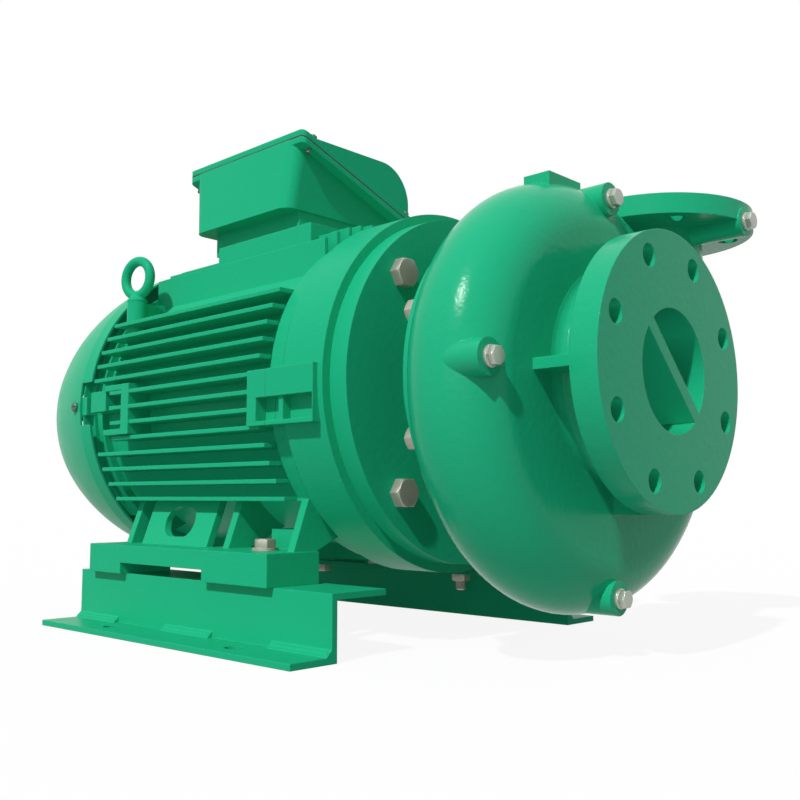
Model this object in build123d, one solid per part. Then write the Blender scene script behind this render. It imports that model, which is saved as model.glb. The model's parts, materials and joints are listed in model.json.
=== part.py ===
"""Close-coupled centrifugal water pump on two Z rails, in millimetres.

X runs along the shaft towards the suction flange, +Y is the far side, Z is up.
The origin lies on the floor, midway between the four anchor holes of the rails.
"""

import os
from math import cos, radians, sin

from build123d import *

os.makedirs("parts", exist_ok=True)

# Clearances
running_gap = 0.3
slip_gap = 0.05
bolt_gap = 0.5

# Rails
rail_length = 401.0
rail_height = 56.0
rail_wall = 5.5
rail_web_y = 170.0
rail_foot_width = 44.0
rail_top_width = 62.0
rail_bend = 7.0
weld_leg = 6.0
weld_length = 77.0
anchor_hole_d = 16.0
anchor_pitch_x = 200.0
anchor_pitch_y = 384.0

# Motor feet and frame
foot_to_shaft = 177.8
foot_pitch_y = 279.4
foot_pitch_x = 231.0
foot_bolt_setback = 111.0
foot_bolt_d = 12.0
foot_bolt_af = 18.0
foot_bolt_head = 8.0
foot_bolt_tail = 20.0
foot_nut_t = 10.0
foot_washer_d = 24.0
foot_washer_t = 2.5
foot_bar_height = 29.0
foot_bar_width = 60.0
foot_overhang = 8.0
foot_front_margin = 50.0
foot_rear_margin = 16.0
foot_notch_height = 11.0
foot_notch_length = 141.0
foot_notch_setback = 60.5
foot_web_t = 9.0
foot_web_y = 145.0
foot_web_root_y = 118.0
foot_web_shell_y = 60.0
foot_web_drop = 20.0
foot_web_setbacks = (22.0, 193.5, 289.0)
foot_ledge_y = 128.0
foot_ledge_width = 32.0
foot_plate_t = 8.0
foot_plate_x0 = -125.0
foot_plate_x1 = -10.0
foot_window_x = -68.0
foot_window_length = 51.0
foot_window_height = 30.0
foot_step_length = 35.0
foot_step_width = 24.0
foot_step_height = 19.0

shaft_z = rail_height + foot_to_shaft

# Pump casing
suction_face_x = 417.0
suction_flange_d = 228.6
suction_flange_t = 24.0
suction_pitch_d = 190.5
suction_bore_d = 101.6
suction_holes = 8
flange_hole_d = 19.0
neck_length = 32.0
neck_root_d = 168.0
neck_tip_d = 144.0
neck_rib_t = 9.0
vane_t = 11.0
vane_length = 46.0
casing_width = 90.0
casing_wall = 9.0
spiral_top_r = 169.5
spiral_step = 15.0
blend_step = 0.2
casing_ring_d = 296.0
casing_ring_proud = 1.0
casing_ring_land = 21.5
casing_opening_d = casing_ring_d - 2 * casing_ring_land
stud_pitch_d = (casing_ring_d + casing_opening_d) / 2
stud_d = 12.0
stud_count = 8
stud_tail = 13.0
stud_nut_t = 10.0
first_hole = 22.5
discharge_flange_d = 190.5
discharge_flange_t = 19.0
discharge_pitch_d = 152.4
discharge_bore_d = 76.2
discharge_holes = 4
discharge_wall = 9.0
discharge_y = 153.0
discharge_face_rise = 174.0
boss_d = 28.5
boss_inset = 16.5
boss_proud = 1.0
gauge_boss_d = 27.0
pad_length = 26.0
pad_setback = 6.0
pad_width = 47.0
pad_far_y = -6.0
pad_rise = 1.7
pad_depth = 40.0
plug_af = 14.0
plug_head = 8.5
plug_collar_t = 2.5
plug_collar_d = 17.0
plug_shank_d = 13.0
plug_shank = 13.0

# Impeller and shaft seal
impeller_d = 248.0
impeller_outlet = 16.0
impeller_shroud = 4.5
impeller_eye_d = 96.0
impeller_vanes = 6
vane_wrap = 105.0
impeller_hub_d = 62.0
impeller_nose_d = 48.0
impeller_water_d = 40.0
impeller_vane_t = 6.5
eye_throat = 3.0
eye_neck = 9.0
wear_ring_wall = 5.0
wear_ring_length = 12.0
wear_ring_recess = 3.0
wear_ring_boss = 38.0
wear_gap = 0.3
shaft_tip_d = 32.0
shaft_thread_d = 20.0
shaft_tip_reach = 24.0
fan_seat_d = 38.0
rear_shoulder_d = 46.0
key_width = 8.0
key_depth = 4.0
key_rise = 3.0
sleeve_d = 50.0
sleeve_wall = 3.5
seal_pot_d = 84.0
seal_pot_wall = 8.0
seal_pot_depth = 52.0
seal_seat_t = 11.0
seal_head_length = 18.0
spring_wire = 3.0
spring_turns = 3.5
spring_radius = 31.0
seal_face_d = 64.0
seal_body_d = 70.0
seal_ring_wall = 3.5
seal_ring_x = 4.0
seal_ring_width = 4.0
nut_af = 38.0
nut_height = 20.0
nut_washer_t = 4.0
slinger_lip = 16.0
slinger_rim = 6.0
slinger_width = 5.0

# Bracket between casing and motor
cover_flange_t = 4.0
bracket_flange_t = 8.0
bracket_neck_d = 172.0
bracket_neck_wall = 13.0
bracket_disc_x = 210.0
bracket_disc_d = 325.0
bracket_disc_t = 20.0
bracket_fillet = 8.0
bracket_bore_d = 92.0
bracket_spigot_d = 240.0
bracket_spigot = 4.0
window_height = 84.0
window_margin = 9.0
flange_bolt_pitch_d = 273.0
flange_bolt_d = 16.0
flange_bolt_af = 24.0
flange_bolt_head = 10.0
flange_bolt_length = 38.0

# Motor drive end
shield_d = 342.0
shield_length = 57.0
shield_web_t = 22.0
shield_wall = 13.0
shield_spigot = 8.0
ear_low_z = -37.5
ear_high_z = 12.5
ear_length = 63.0
ear_setback = 6.0
ear_proud = 5.0
ear_pocket_low_z = -33.5
ear_pocket_high_z = -12.5
ear_pocket_depth = 12.0
ear_pocket_rib = 6.0
ear_lug_length = 26.0
rear_lug_low_z = -35.0
rear_lug_high_z = 18.0
rear_lug_length = 48.0
rear_lug_start = 35.0
rear_lug_rim = 6.0
cowl_lug_length = 29.0
cowl_lug_low_z = -8.5
cowl_lug_high_z = 13.5
cowl_screw_x = 32.0
cowl_screw_d = 6.0
cowl_screw_length = 14.0
cowl_screw_head = 3.4
cowl_screw_drop = 0.8
bearing_bore_d = 55.0
bearing_outer_d = 120.0
bearing_width = 29.0
bearing_ring_t = 8.5
ball_d = 18.0
ball_count = 8
bearing_web_gap = 4.0
bearing_cap_t = 8.0
bearing_cap_proud = 10.0
bearing_lip = 8.0
bearing_housing_wall = 11.0
cage_width = 6.0
cage_wall = 6.0
rear_bearing_inset = 12.0

# Motor frame
frame_front_ring = 22.0
frame_length = 320.0
frame_shell_d = 300.0
frame_wall = 19.0
frame_bore_d = frame_shell_d - 2 * frame_wall
frame_ring_d = 326.0
fin_envelope_d = 352.0
fin_t = 4.0
fin_pitch = 15.9
fin_rows = 13
fin_top_z = 89.0
fin_front_gap = 23.0
fin_rear_gap = 10.0
top_fin_rows = 13
top_fin_pitch = 15.8
bottom_fins = (-2, -1, 0, 1, 2)
bottom_fin_lift = 12.0
core_length = 170.0
core_depth = 45.0
stator_bore_d = frame_bore_d - 2 * core_depth
air_gap = 0.6
winding_clearance = 13.0
winding_d = frame_bore_d - 2 * winding_clearance
winding_lift = 7.0
winding_length = 42.0
rotor_ring_length = 16.0
rotor_ring_inset = 4.0
rotor_ring_depth = 26.0
shaft_core_d = 62.0
eyebolt_x = -165.0
eyebolt_y = -133.0
eyebolt_ring_d = 50.0
eyebolt_hole_d = 28.0
eyebolt_rise = 144.0
eyebolt_turn = 10.0
eyebolt_collar_d = 22.0
eyebolt_collar_t = 6.0
eyebolt_shank_d = 12.0
eyebolt_shank = 14.0
eyebolt_boss = 44.0
eyebolt_rib_t = 10.0

# Motor rear end
rear_shield_t = 16.0
rear_shield_d = 316.0
cowl_d = 348.0
cowl_wall = 2.5
cowl_straight = 20.0
cowl_taper = 119.0
cowl_taper_drop = 34.0
cowl_taper_sag = 5.0
cowl_corner = 37.5
cowl_corner_drop = 40.0
cowl_notch = 20.0
cowl_notch_depth = 20.0
rear_arm_inner_d = 316.0
rear_arm_step = 20.0
pad_screw_margin = 7.0
cowl_pad_width = 20.0
cowl_notch_low_z = -21.0
cowl_notch_high_z = 26.0
grille_bar = 4.0
grille_gap = 8.0
grille_spoke = 6.0
fan_d = 286.0
fan_hub_d = 74.0
fan_blades = 9
fan_blade_t = 4.0
fan_width = 30.0
fan_disc_t = 4.0
fan_disc_share = 0.72
fan_hub_inset = 2.0
fan_setback = 14.0
clip_t = 1.8
clip_d = 48.0
clip_groove_d = 36.0
shaft_end = 6.0

# Terminal box
box_bottom_x0 = -121.0
box_bottom_x1 = 40.0
box_top_x0 = -135.0
box_top_x1 = 46.5
box_bottom_z = 428.0
box_top_z = 507.0
box_near_y = 90.0
box_near_top_y = 81.0
box_far_y = 88.0
box_far_top_y = 86.0
box_wall = 5.0
box_corner = 14.0
joint_drop = 62.0
joint_below_top = 6.0
lid_corner = 42.0
lid_step = 1.0
lip_t = 6.0
lip_proud = 9.0
lip_corner = 6.0
gasket_t = 1.5
lid_screw_d = 5.0
lid_screw_head_d = 8.0
lid_screw_head = 4.0
lid_screw_length = 18.0
lid_screw_margin = 14.0
pedestal_x0 = -70.0
pedestal_x1 = 81.0
pedestal_half_y = 92.0
pedestal_top_z = 403.0
pedestal_root = 100.0
neck_x0 = -104.5
neck_x1 = 37.5
neck_half_y = 70.0
wire_way_x0 = -50.0
wire_way_x1 = 18.0
wire_way_half_y = 35.0
box_screw_d = 8.0
box_screw_af = 13.0
box_screw_head = 5.5
box_screw_margin = 12.0
box_screw_grip = 18.0
board_x = -80.0
board_length = 36.0
board_width = 70.0
board_t = 10.0
terminal_d = 6.0
terminal_length = 24.0
terminal_pitch_x = 18.0
terminal_pitch_y = 22.0


def at_shaft(part):
    """Lift a piece modelled about the X axis to the shaft line."""
    return Pos(0, 0, shaft_z) * part


def turned(points):
    """Solid of revolution about X from a closed outline of (x, radius) points."""
    outline = Plane.XZ * make_face(Polyline(*points, close=True))
    return revolve(outline, Axis.X, 360)


def drum(x0, x1, outer_d, inner_d=0.0):
    """Cylinder or tube along X between two stations."""
    r0, r1 = inner_d / 2, outer_d / 2
    return turned([(x0, r0), (x0, r1), (x1, r1), (x1, r0)])


def around(count, pitch_d, start=0.0):
    """Locations on a pitch circle about the X axis, axis of each along X."""
    spots = []
    for index in range(count):
        angle = radians(start + 360 * index / count)
        spots.append(Pos(0, pitch_d / 2 * cos(angle), pitch_d / 2 * sin(angle)))
    return spots


def hexagon(across_flats, x0, length):
    """Hexagonal prism along X."""
    section = RegularPolygon(across_flats / 2, 6, major_radius=False)
    return extrude(Plane.YZ.offset(x0) * section, length)


def block(x0, x1, y0, y1, z0, z1):
    """Box between two corners."""
    middle = Pos((x0 + x1) / 2, (y0 + y1) / 2, (z0 + z1) / 2)
    return middle * Box(abs(x1 - x0), abs(y1 - y0), abs(z1 - z0))


def write(name, shape):
    """Write one named piece."""
    export_step(shape, f"parts/{name}.step")


# Stations along the shaft, from the suction face backwards
flange_back_x = suction_face_x - suction_flange_t
casing_front_x = flange_back_x - neck_length
casing_mid_x = casing_front_x - casing_width / 2
casing_back_x = casing_front_x - casing_width - casing_ring_proud
chamber_half = casing_width / 2 - casing_wall
chamber_front_x = casing_mid_x + chamber_half
chamber_back_x = casing_mid_x - chamber_half
cover_back_x = casing_back_x - cover_flange_t
bracket_flange_x = cover_back_x - bracket_flange_t
disc_front_x = suction_face_x - bracket_disc_x
disc_back_x = disc_front_x - bracket_disc_t
shield_back_x = disc_back_x - shield_length
frame_rear_x = shield_back_x - frame_length
shield_web_x = disc_back_x - shield_web_t
bearing_front_x = shield_web_x - bearing_web_gap
bearing_back_x = bearing_front_x - bearing_width
rear_shield_x = frame_rear_x - rear_shield_t
foot_front_x = disc_back_x - foot_bolt_setback
foot_rear_x = foot_front_x - foot_pitch_x
core_mid_x = (shield_back_x + frame_rear_x) / 2


# Spiral casing
def quadrant(start, centre, radius, half_width):
    """Quarter turn of the casing's round-rimmed disc about its own centre."""
    out = Vector(0, cos(radians(start)), sin(radians(start)))
    plane = Plane(
        origin=(casing_mid_x, centre[0], centre[1]),
        x_dir=(1, 0, 0),
        z_dir=Vector(1, 0, 0).cross(out),
    )
    shoulder = radius - half_width
    rim = [
        Line((-half_width, 0), (-half_width, shoulder)),
        ThreePointArc((-half_width, shoulder), (0, radius), (half_width, shoulder)),
        Line((half_width, shoulder), (half_width, 0)),
        Line((half_width, 0), (-half_width, 0)),
    ]
    axis = Axis((casing_mid_x, centre[0], centre[1]), (1, 0, 0))
    return revolve(plane * make_face(rim), axis, 90)


def spiral(inset):
    """Four-centre spiral disc, drawn in by the wall when inset is given."""
    half = spiral_step / 2
    half_width = casing_width / 2 - inset
    first = spiral_top_r + half - inset
    body = quadrant(0, (-half, half), first - spiral_step, half_width)
    body += quadrant(90, (-half, -half), first, half_width)
    body += quadrant(180, (half, -half), first + spiral_step, half_width)
    body += quadrant(270, (half, half), first + 2 * spiral_step, half_width)
    return body


def discharge_duct(inset):
    """Duct from the spiral's end, obround, to the round discharge bore."""
    outer_y = spiral_top_r + 3 * spiral_step - inset
    inner_y = discharge_y - discharge_bore_d / 2 - discharge_wall + inset
    width = casing_width - 2 * inset
    top_z = discharge_face_rise - discharge_flange_t
    slot = SlotOverall(outer_y - inner_y - 2 * blend_step, width - 2 * blend_step)
    base = Pos(casing_mid_x, (outer_y + inner_y) / 2, spiral_step / 2) * Rot(0, 0, 90) * slot
    tip = Pos(casing_mid_x, discharge_y, top_z) * Circle(
        discharge_bore_d / 2 + discharge_wall - inset
    )
    return loft(Sketch() + [base, tip])


def casing_bosses():
    """Centres (y, z) of the plug bosses that follow the spiral."""
    return [
        (0.0, spiral_top_r - boss_inset),
        (-(spiral_top_r + spiral_step - boss_inset), 0.0),
        (0.0, -(spiral_top_r + 2 * spiral_step - boss_inset)),
    ]


boss_end_x = casing_front_x + boss_proud
gauge_z = discharge_face_rise - discharge_flange_t
gauge_end_x = casing_mid_x + discharge_flange_d / 2 + boss_proud
wear_ring_back_x = chamber_front_x - wear_ring_length + wear_ring_recess
wear_ring_outer_d = impeller_eye_d + 2 * (impeller_shroud + wear_gap + wear_ring_wall)


def make_volute():
    body = spiral(0) + discharge_duct(0)
    body += drum(casing_back_x, casing_mid_x, casing_ring_d)
    body += turned(
        [
            (casing_mid_x, 0),
            (casing_mid_x, neck_root_d / 2),
            (casing_front_x, neck_root_d / 2),
            (flange_back_x, neck_tip_d / 2),
            (flange_back_x, 0),
        ]
    )
    body += drum(flange_back_x, suction_face_x, suction_flange_d)
    rib = block(
        casing_mid_x,
        flange_back_x,
        neck_tip_d / 2 - neck_rib_t,
        suction_flange_d / 2,
        -neck_rib_t / 2,
        neck_rib_t / 2,
    )
    for quarter in range(4):
        body += Rot(90 * quarter, 0, 0) * rib
    for y, z in casing_bosses():
        body += Pos(0, y, z) * drum(casing_mid_x, boss_end_x, boss_d)
    body += block(
        casing_mid_x - pad_setback,
        casing_mid_x - pad_setback + pad_length,
        pad_far_y - pad_width,
        pad_far_y,
        spiral_top_r - pad_depth,
        spiral_top_r + pad_rise,
    )
    flange_z0 = discharge_face_rise - discharge_flange_t
    body += Pos(casing_mid_x, discharge_y, flange_z0 + discharge_flange_t / 2) * Cylinder(
        discharge_flange_d / 2, discharge_flange_t
    )
    body += Pos(0, discharge_y, gauge_z) * drum(casing_mid_x, gauge_end_x, gauge_boss_d)

    # Waterways
    body -= spiral(casing_wall)
    body -= discharge_duct(casing_wall)
    body -= Pos(casing_mid_x, discharge_y, discharge_face_rise - discharge_flange_t / 2) * Cylinder(
        discharge_bore_d / 2, discharge_flange_t
    )
    body += drum(wear_ring_back_x, chamber_front_x + 1, impeller_eye_d + wear_ring_boss)
    body -= drum(casing_mid_x, suction_face_x, suction_bore_d)
    body -= drum(wear_ring_back_x, wear_ring_back_x + wear_ring_length, wear_ring_outer_d)
    body -= drum(casing_back_x, casing_mid_x, casing_opening_d)
    vane_x = suction_face_x - vane_length
    reach = suction_bore_d / 2 + neck_rib_t
    vane = Rot(-45, 0, 0) * block(vane_x, suction_face_x, -reach, reach, -vane_t / 2, vane_t / 2)
    body += vane & drum(vane_x, suction_face_x, suction_bore_d + 6)

    # Bolt, stud and plug holes
    for spot in around(suction_holes, suction_pitch_d, first_hole):
        body -= spot * drum(flange_back_x, suction_face_x, flange_hole_d)
    for index in range(discharge_holes):
        angle = radians(45 + 90 * index)
        body -= Pos(
            casing_mid_x + discharge_pitch_d / 2 * cos(angle),
            discharge_y + discharge_pitch_d / 2 * sin(angle),
            flange_z0 + discharge_flange_t / 2,
        ) * Cylinder(flange_hole_d / 2, discharge_flange_t)
    for spot in around(stud_count, stud_pitch_d, first_hole):
        body -= spot * drum(casing_back_x, casing_back_x + stud_d, stud_d + 2 * slip_gap)
    tapping = drum(-plug_shank - 1, 0, plug_shank_d + 2 * slip_gap)
    for y, z in casing_bosses():
        body -= Pos(boss_end_x, y, z) * tapping
    body -= Pos(gauge_end_x, discharge_y, gauge_z) * tapping
    return at_shaft(body)


def make_wear_ring():
    front_x = wear_ring_back_x + wear_ring_length
    inner_d = wear_ring_outer_d - 2 * wear_ring_wall
    return at_shaft(drum(wear_ring_back_x, front_x, wear_ring_outer_d, inner_d))


def make_plugs():
    plug = hexagon(plug_af, 0, plug_head) + drum(-plug_shank, 0, plug_shank_d)
    plug += drum(0, plug_collar_t, plug_collar_d)
    spots = [Pos(boss_end_x, y, z) for y, z in casing_bosses()]
    spots.append(Pos(gauge_end_x, discharge_y, gauge_z))
    return Compound(children=[at_shaft(spot * plug) for spot in spots])


# Shaft group
tip_front_x = casing_mid_x + shaft_tip_reach
hub_back_x = chamber_back_x + 4
hub_front_x = casing_mid_x + impeller_outlet / 2
sleeve_back_x = disc_front_x + 4
rear_bearing_front_x = frame_rear_x + rear_bearing_inset
rear_bearing_back_x = rear_bearing_front_x - bearing_width
fan_front_x = rear_shield_x - fan_setback
fan_back_x = fan_front_x - fan_width
fan_hub_x = fan_back_x + fan_hub_inset
shaft_rear_x = fan_back_x - shaft_end
key_x = hub_back_x + 4


def make_shaft():
    journal = bearing_bore_d / 2
    fan_seat = fan_seat_d / 2
    rear_shoulder = rear_shoulder_d / 2
    sleeve_seat = sleeve_d / 2 - sleeve_wall
    keyway = block(
        key_x,
        hub_front_x,
        -key_width / 2,
        key_width / 2,
        shaft_tip_d / 2 - key_depth - slip_gap,
        shaft_tip_d / 2 + 1,
    )
    shaft = turned(
        [
            (shaft_rear_x, 0),
            (shaft_rear_x, fan_seat),
            (fan_front_x + 4, fan_seat),
            (fan_front_x + 4, rear_shoulder),
            (rear_bearing_back_x, rear_shoulder),
            (rear_bearing_back_x, journal),
            (rear_bearing_front_x, journal),
            (rear_bearing_front_x, shaft_core_d / 2),
            (bearing_back_x, shaft_core_d / 2),
            (bearing_back_x, journal),
            (bearing_front_x, journal),
            (bearing_front_x, sleeve_d / 2),
            (sleeve_back_x, sleeve_d / 2),
            (sleeve_back_x, sleeve_seat),
            (hub_back_x, sleeve_seat),
            (hub_back_x, shaft_tip_d / 2),
            (hub_front_x, shaft_tip_d / 2),
            (hub_front_x, shaft_thread_d / 2),
            (tip_front_x, shaft_thread_d / 2),
            (tip_front_x, 0),
        ]
    )
    groove = drum(fan_hub_x - clip_t, fan_hub_x, fan_seat_d + 2, clip_groove_d)
    return at_shaft(shaft - keyway - groove)


def make_sleeve():
    return at_shaft(drum(sleeve_back_x, hub_back_x, sleeve_d, sleeve_d - 2 * sleeve_wall))


def impeller_passage():
    """Water space between the two shrouds, from the eye to the rim."""
    front = casing_mid_x + impeller_outlet / 2
    back = casing_mid_x - impeller_outlet / 2
    eye_x = chamber_front_x + 1
    eye = impeller_eye_d / 2
    core = impeller_water_d / 2
    return [
        (back, core),
        (back, impeller_d / 2),
        (front, impeller_d / 2),
        (front + eye_throat, eye + core),
        (front + eye_neck, eye + eye_throat),
        (eye_x - 4, eye),
        (eye_x, eye),
        (eye_x, core),
    ]


def make_impeller():
    front = casing_mid_x + impeller_outlet / 2
    back = casing_mid_x - impeller_outlet / 2
    eye_x = chamber_front_x + 1
    shroud = impeller_shroud
    body = turned(
        [
            (hub_back_x, shaft_tip_d / 2),
            (hub_back_x, impeller_hub_d / 2),
            (back - shroud, impeller_hub_d / 2),
            (back - shroud, impeller_d / 2),
            (front + shroud, impeller_d / 2),
            (front + shroud + eye_throat, (impeller_eye_d + impeller_water_d) / 2 + 2),
            (front + shroud + eye_neck + 2, impeller_eye_d / 2 + shroud),
            (eye_x, impeller_eye_d / 2 + shroud),
            (eye_x, shaft_tip_d / 2),
        ]
    )
    water = turned(impeller_passage())
    hub = turned(
        [
            (back, shaft_tip_d / 2),
            (back, impeller_hub_d / 2),
            (hub_front_x, impeller_nose_d / 2),
            (hub_front_x, shaft_tip_d / 2),
        ]
    )
    body = body - water
    body -= drum(hub_front_x, eye_x, impeller_water_d)
    body += hub
    vanes = water & extrude(Plane.YZ.offset(back - 1) * vane_plan(), eye_x - back)
    body += vanes
    body -= drum(hub_back_x, hub_front_x, shaft_tip_d + 2 * slip_gap)
    keyway_top = shaft_tip_d / 2 + key_rise
    keyway = block(hub_back_x, hub_front_x, -key_width / 2, key_width / 2, 0, keyway_top)
    return at_shaft(body - keyway)


def vane_plan():
    """Backward-curved vanes in the plane across the shaft."""
    inner = impeller_eye_d / 2 - 6
    outer = impeller_d / 2 + 1
    middle = (inner * outer) ** 0.5
    plan = Sketch()
    for index in range(impeller_vanes):
        start = 360 * index / impeller_vanes
        edges = []
        corners = []
        for lead in (0, impeller_vane_t):
            points = []
            for radius, turn in ((inner, 0), (middle, 0.5), (outer, 1)):
                angle = radians(start + lead - vane_wrap * turn)
                points.append((radius * cos(angle), radius * sin(angle)))
            edges.append(ThreePointArc(*points))
            corners.append(points)
        edges.append(Line(corners[0][0], corners[1][0]))
        edges.append(Line(corners[0][2], corners[1][2]))
        plan += make_face(edges)
    return plan


def make_impeller_key():
    return at_shaft(
        block(
            key_x,
            hub_front_x - 2,
            -key_width / 2 + slip_gap,
            key_width / 2 - slip_gap,
            shaft_tip_d / 2 - key_depth,
            shaft_tip_d / 2 + key_rise - slip_gap,
        )
    )


def make_impeller_nut():
    base_x = hub_front_x + nut_washer_t
    dome_x = base_x + 0.65 * nut_height
    nut = hexagon(nut_af, base_x, 0.7 * nut_height)
    nut += turned(
        [
            (dome_x, 0),
            (dome_x, nut_af / 2 - 2),
            (base_x + nut_height, nut_af / 4),
            (base_x + nut_height, 0),
        ]
    )
    nut -= drum(hub_front_x, tip_front_x, shaft_thread_d + 2 * slip_gap)
    return at_shaft(nut)


def make_impeller_washer():
    hole_d = shaft_thread_d + 2 * slip_gap
    return at_shaft(drum(hub_front_x, hub_front_x + nut_washer_t, nut_af + 4, hole_d))


# Seal and cover
pot_back_x = chamber_back_x - seal_pot_depth
seat_front_x = pot_back_x + seal_pot_wall + seal_seat_t
head_front_x = seat_front_x + seal_head_length


def make_cover():
    body = drum(cover_back_x, casing_back_x, casing_ring_d)
    body += drum(casing_back_x, chamber_back_x, casing_opening_d - 2 * slip_gap)
    body += drum(pot_back_x, casing_back_x, seal_pot_d + 2 * seal_pot_wall)
    body -= drum(pot_back_x + seal_pot_wall, chamber_back_x, seal_pot_d)
    body -= drum(pot_back_x, chamber_back_x, sleeve_d + 6)
    groove_x = casing_back_x + seal_ring_x
    groove_d = casing_opening_d - 2 * seal_ring_wall
    body -= drum(groove_x, groove_x + seal_ring_width, casing_opening_d, groove_d)
    for spot in around(stud_count, stud_pitch_d, first_hole):
        body -= spot * drum(cover_back_x, casing_back_x, stud_d + 1)
    return at_shaft(body)


def make_casing_seal_ring():
    side_gap = 4 * slip_gap
    x0 = casing_back_x + seal_ring_x + side_gap
    x1 = x0 + seal_ring_width - 2 * side_gap
    outer_d = casing_opening_d - 2 * side_gap
    inner_d = casing_opening_d - 2 * seal_ring_wall + 2 * side_gap
    return at_shaft(drum(x0, x1, outer_d, inner_d))


def make_seal_seat():
    return at_shaft(
        drum(pot_back_x + seal_pot_wall, seat_front_x, seal_pot_d - 2 * slip_gap, sleeve_d + 4)
    )


def make_seal_head():
    hole_d = sleeve_d + 2 * slip_gap
    body = drum(seat_front_x + slip_gap, seat_front_x + 4, seal_face_d, hole_d)
    body += drum(seat_front_x + 4, head_front_x, seal_body_d, hole_d)
    return at_shaft(body)


def make_seal_spring():
    back_x = head_front_x + spring_wire / 2 + slip_gap
    front_x = hub_back_x - spring_wire / 2 - slip_gap
    length = front_x - back_x
    path = Helix(length / spring_turns, length, spring_radius)
    section = Plane(path @ 0, z_dir=path % 0) * Circle(spring_wire / 2)
    coil = sweep(section, path)
    return at_shaft(Pos(back_x, 0, 0) * Rot(0, 90, 0) * coil)


# Studs, nuts and the bracket
def make_casing_studs():
    stud = drum(casing_back_x + 0.5, casing_back_x + stud_d - 0.5, stud_d)
    stud += drum(bracket_flange_x - stud_tail, casing_back_x + 0.5, stud_d)
    spots = around(stud_count, stud_pitch_d, first_hole)
    return Compound(children=[at_shaft(spot * stud) for spot in spots])


def make_casing_nuts():
    nut_x = bracket_flange_x - stud_nut_t
    nut = hexagon(1.5 * stud_d, nut_x, stud_nut_t)
    nut -= drum(nut_x, bracket_flange_x, stud_d + 2 * slip_gap)
    spots = around(stud_count, stud_pitch_d, first_hole)
    return Compound(children=[at_shaft(spot * nut) for spot in spots])


def make_bracket():
    neck_back_x = disc_front_x
    inner = bracket_neck_d / 2 - bracket_neck_wall
    body = drum(bracket_flange_x, cover_back_x, casing_ring_d, 2 * inner) + turned(
        [
            (bracket_flange_x, inner),
            (bracket_flange_x, bracket_neck_d / 2 + bracket_fillet),
            (bracket_flange_x - bracket_fillet, bracket_neck_d / 2),
            (neck_back_x + bracket_fillet, bracket_neck_d / 2),
            (neck_back_x, bracket_neck_d / 2 + bracket_fillet),
            (neck_back_x, inner),
        ]
    )
    body += drum(disc_back_x, disc_front_x, bracket_disc_d, bracket_bore_d)
    body += drum(disc_back_x - bracket_spigot, disc_back_x, bracket_spigot_d, bracket_bore_d)
    for side in (0, 180):
        window = Rot(side, 0, 0) * block(
            neck_back_x + window_margin,
            bracket_flange_x - window_margin,
            0,
            bracket_neck_d,
            -window_height / 2,
            window_height / 2,
        )
        body -= window
    for spot in around(stud_count, stud_pitch_d, first_hole):
        body -= spot * drum(bracket_flange_x, cover_back_x, stud_d + 1)
    for spot in around(4, flange_bolt_pitch_d, 45):
        body -= spot * drum(disc_back_x, disc_front_x, flange_bolt_d + 1)
    return at_shaft(body)


def make_flange_bolts():
    bolt = hexagon(flange_bolt_af, disc_front_x, flange_bolt_head)
    bolt += drum(disc_front_x - flange_bolt_length, disc_front_x, flange_bolt_d)
    return Compound(children=[at_shaft(spot * bolt) for spot in around(4, flange_bolt_pitch_d, 45)])


def make_slinger():
    x0 = disc_front_x + 9
    x1 = x0 + slinger_width
    bore = sleeve_d / 2 + slip_gap
    rim = sleeve_d / 2 + slinger_rim
    lip = sleeve_d / 2 + slinger_lip
    return at_shaft(turned([(x0, bore), (x0, rim), (x0 - 2, lip), (x0 + 2, lip), (x1, rim), (x1, bore)]))


# Motor shields and bearings
ear_reach = shield_d / 2 + ear_proud
ear_front_x = disc_back_x - ear_setback
ear_back_x = ear_front_x - ear_length


def both_sides(part):
    """A piece on the near side of the shaft and its mirror on the far side."""
    return part + mirror(part, Plane.XZ)


def make_drive_shield():
    r = shield_d / 2
    hub_r = bearing_outer_d / 2 + bearing_housing_wall
    body = turned(
        [
            (disc_back_x, sleeve_d / 2 + 3),
            (disc_back_x, r),
            (shield_back_x + 6, r),
            (shield_back_x, r - 4),
            (shield_back_x, frame_bore_d / 2),
            (shield_back_x - shield_spigot, frame_bore_d / 2 - slip_gap),
            (shield_back_x - shield_spigot, frame_bore_d / 2 - 8),
            (shield_web_x, r - shield_wall - 8),
            (shield_web_x, hub_r),
            (bearing_back_x, hub_r),
            (bearing_back_x, bearing_outer_d / 2),
            (bearing_front_x, bearing_outer_d / 2),
            (bearing_front_x, bearing_outer_d / 2 - bearing_lip),
            (shield_web_x + 1, sleeve_d / 2 + 3),
        ]
    )
    body -= drum(disc_back_x - bracket_spigot, disc_back_x, bracket_spigot_d + 2 * slip_gap)
    ear = block(ear_back_x, ear_front_x, r - 30, r + ear_proud, ear_low_z, ear_high_z)
    ear -= drum(ear_back_x - 1, shield_back_x, frame_ring_d + 2 * running_gap)
    body += both_sides(ear)
    pocket_y = ear_reach - ear_pocket_depth
    pocket = block(
        ear_back_x - 1, ear_front_x - 1, pocket_y, ear_reach + 1, ear_pocket_low_z, ear_pocket_high_z
    )
    rib_x = shield_back_x + 3
    rib_reach = ear_reach - ear_pocket_rib / 2
    pocket -= block(rib_x, rib_x + ear_pocket_rib, 0, rib_reach, ear_pocket_low_z, ear_pocket_high_z)
    body -= both_sides(pocket)
    for spot in around(4, flange_bolt_pitch_d, 45):
        body -= spot * drum(disc_back_x - shield_web_t, disc_back_x, flange_bolt_d + 2 * slip_gap)
    return at_shaft(body)


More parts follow.
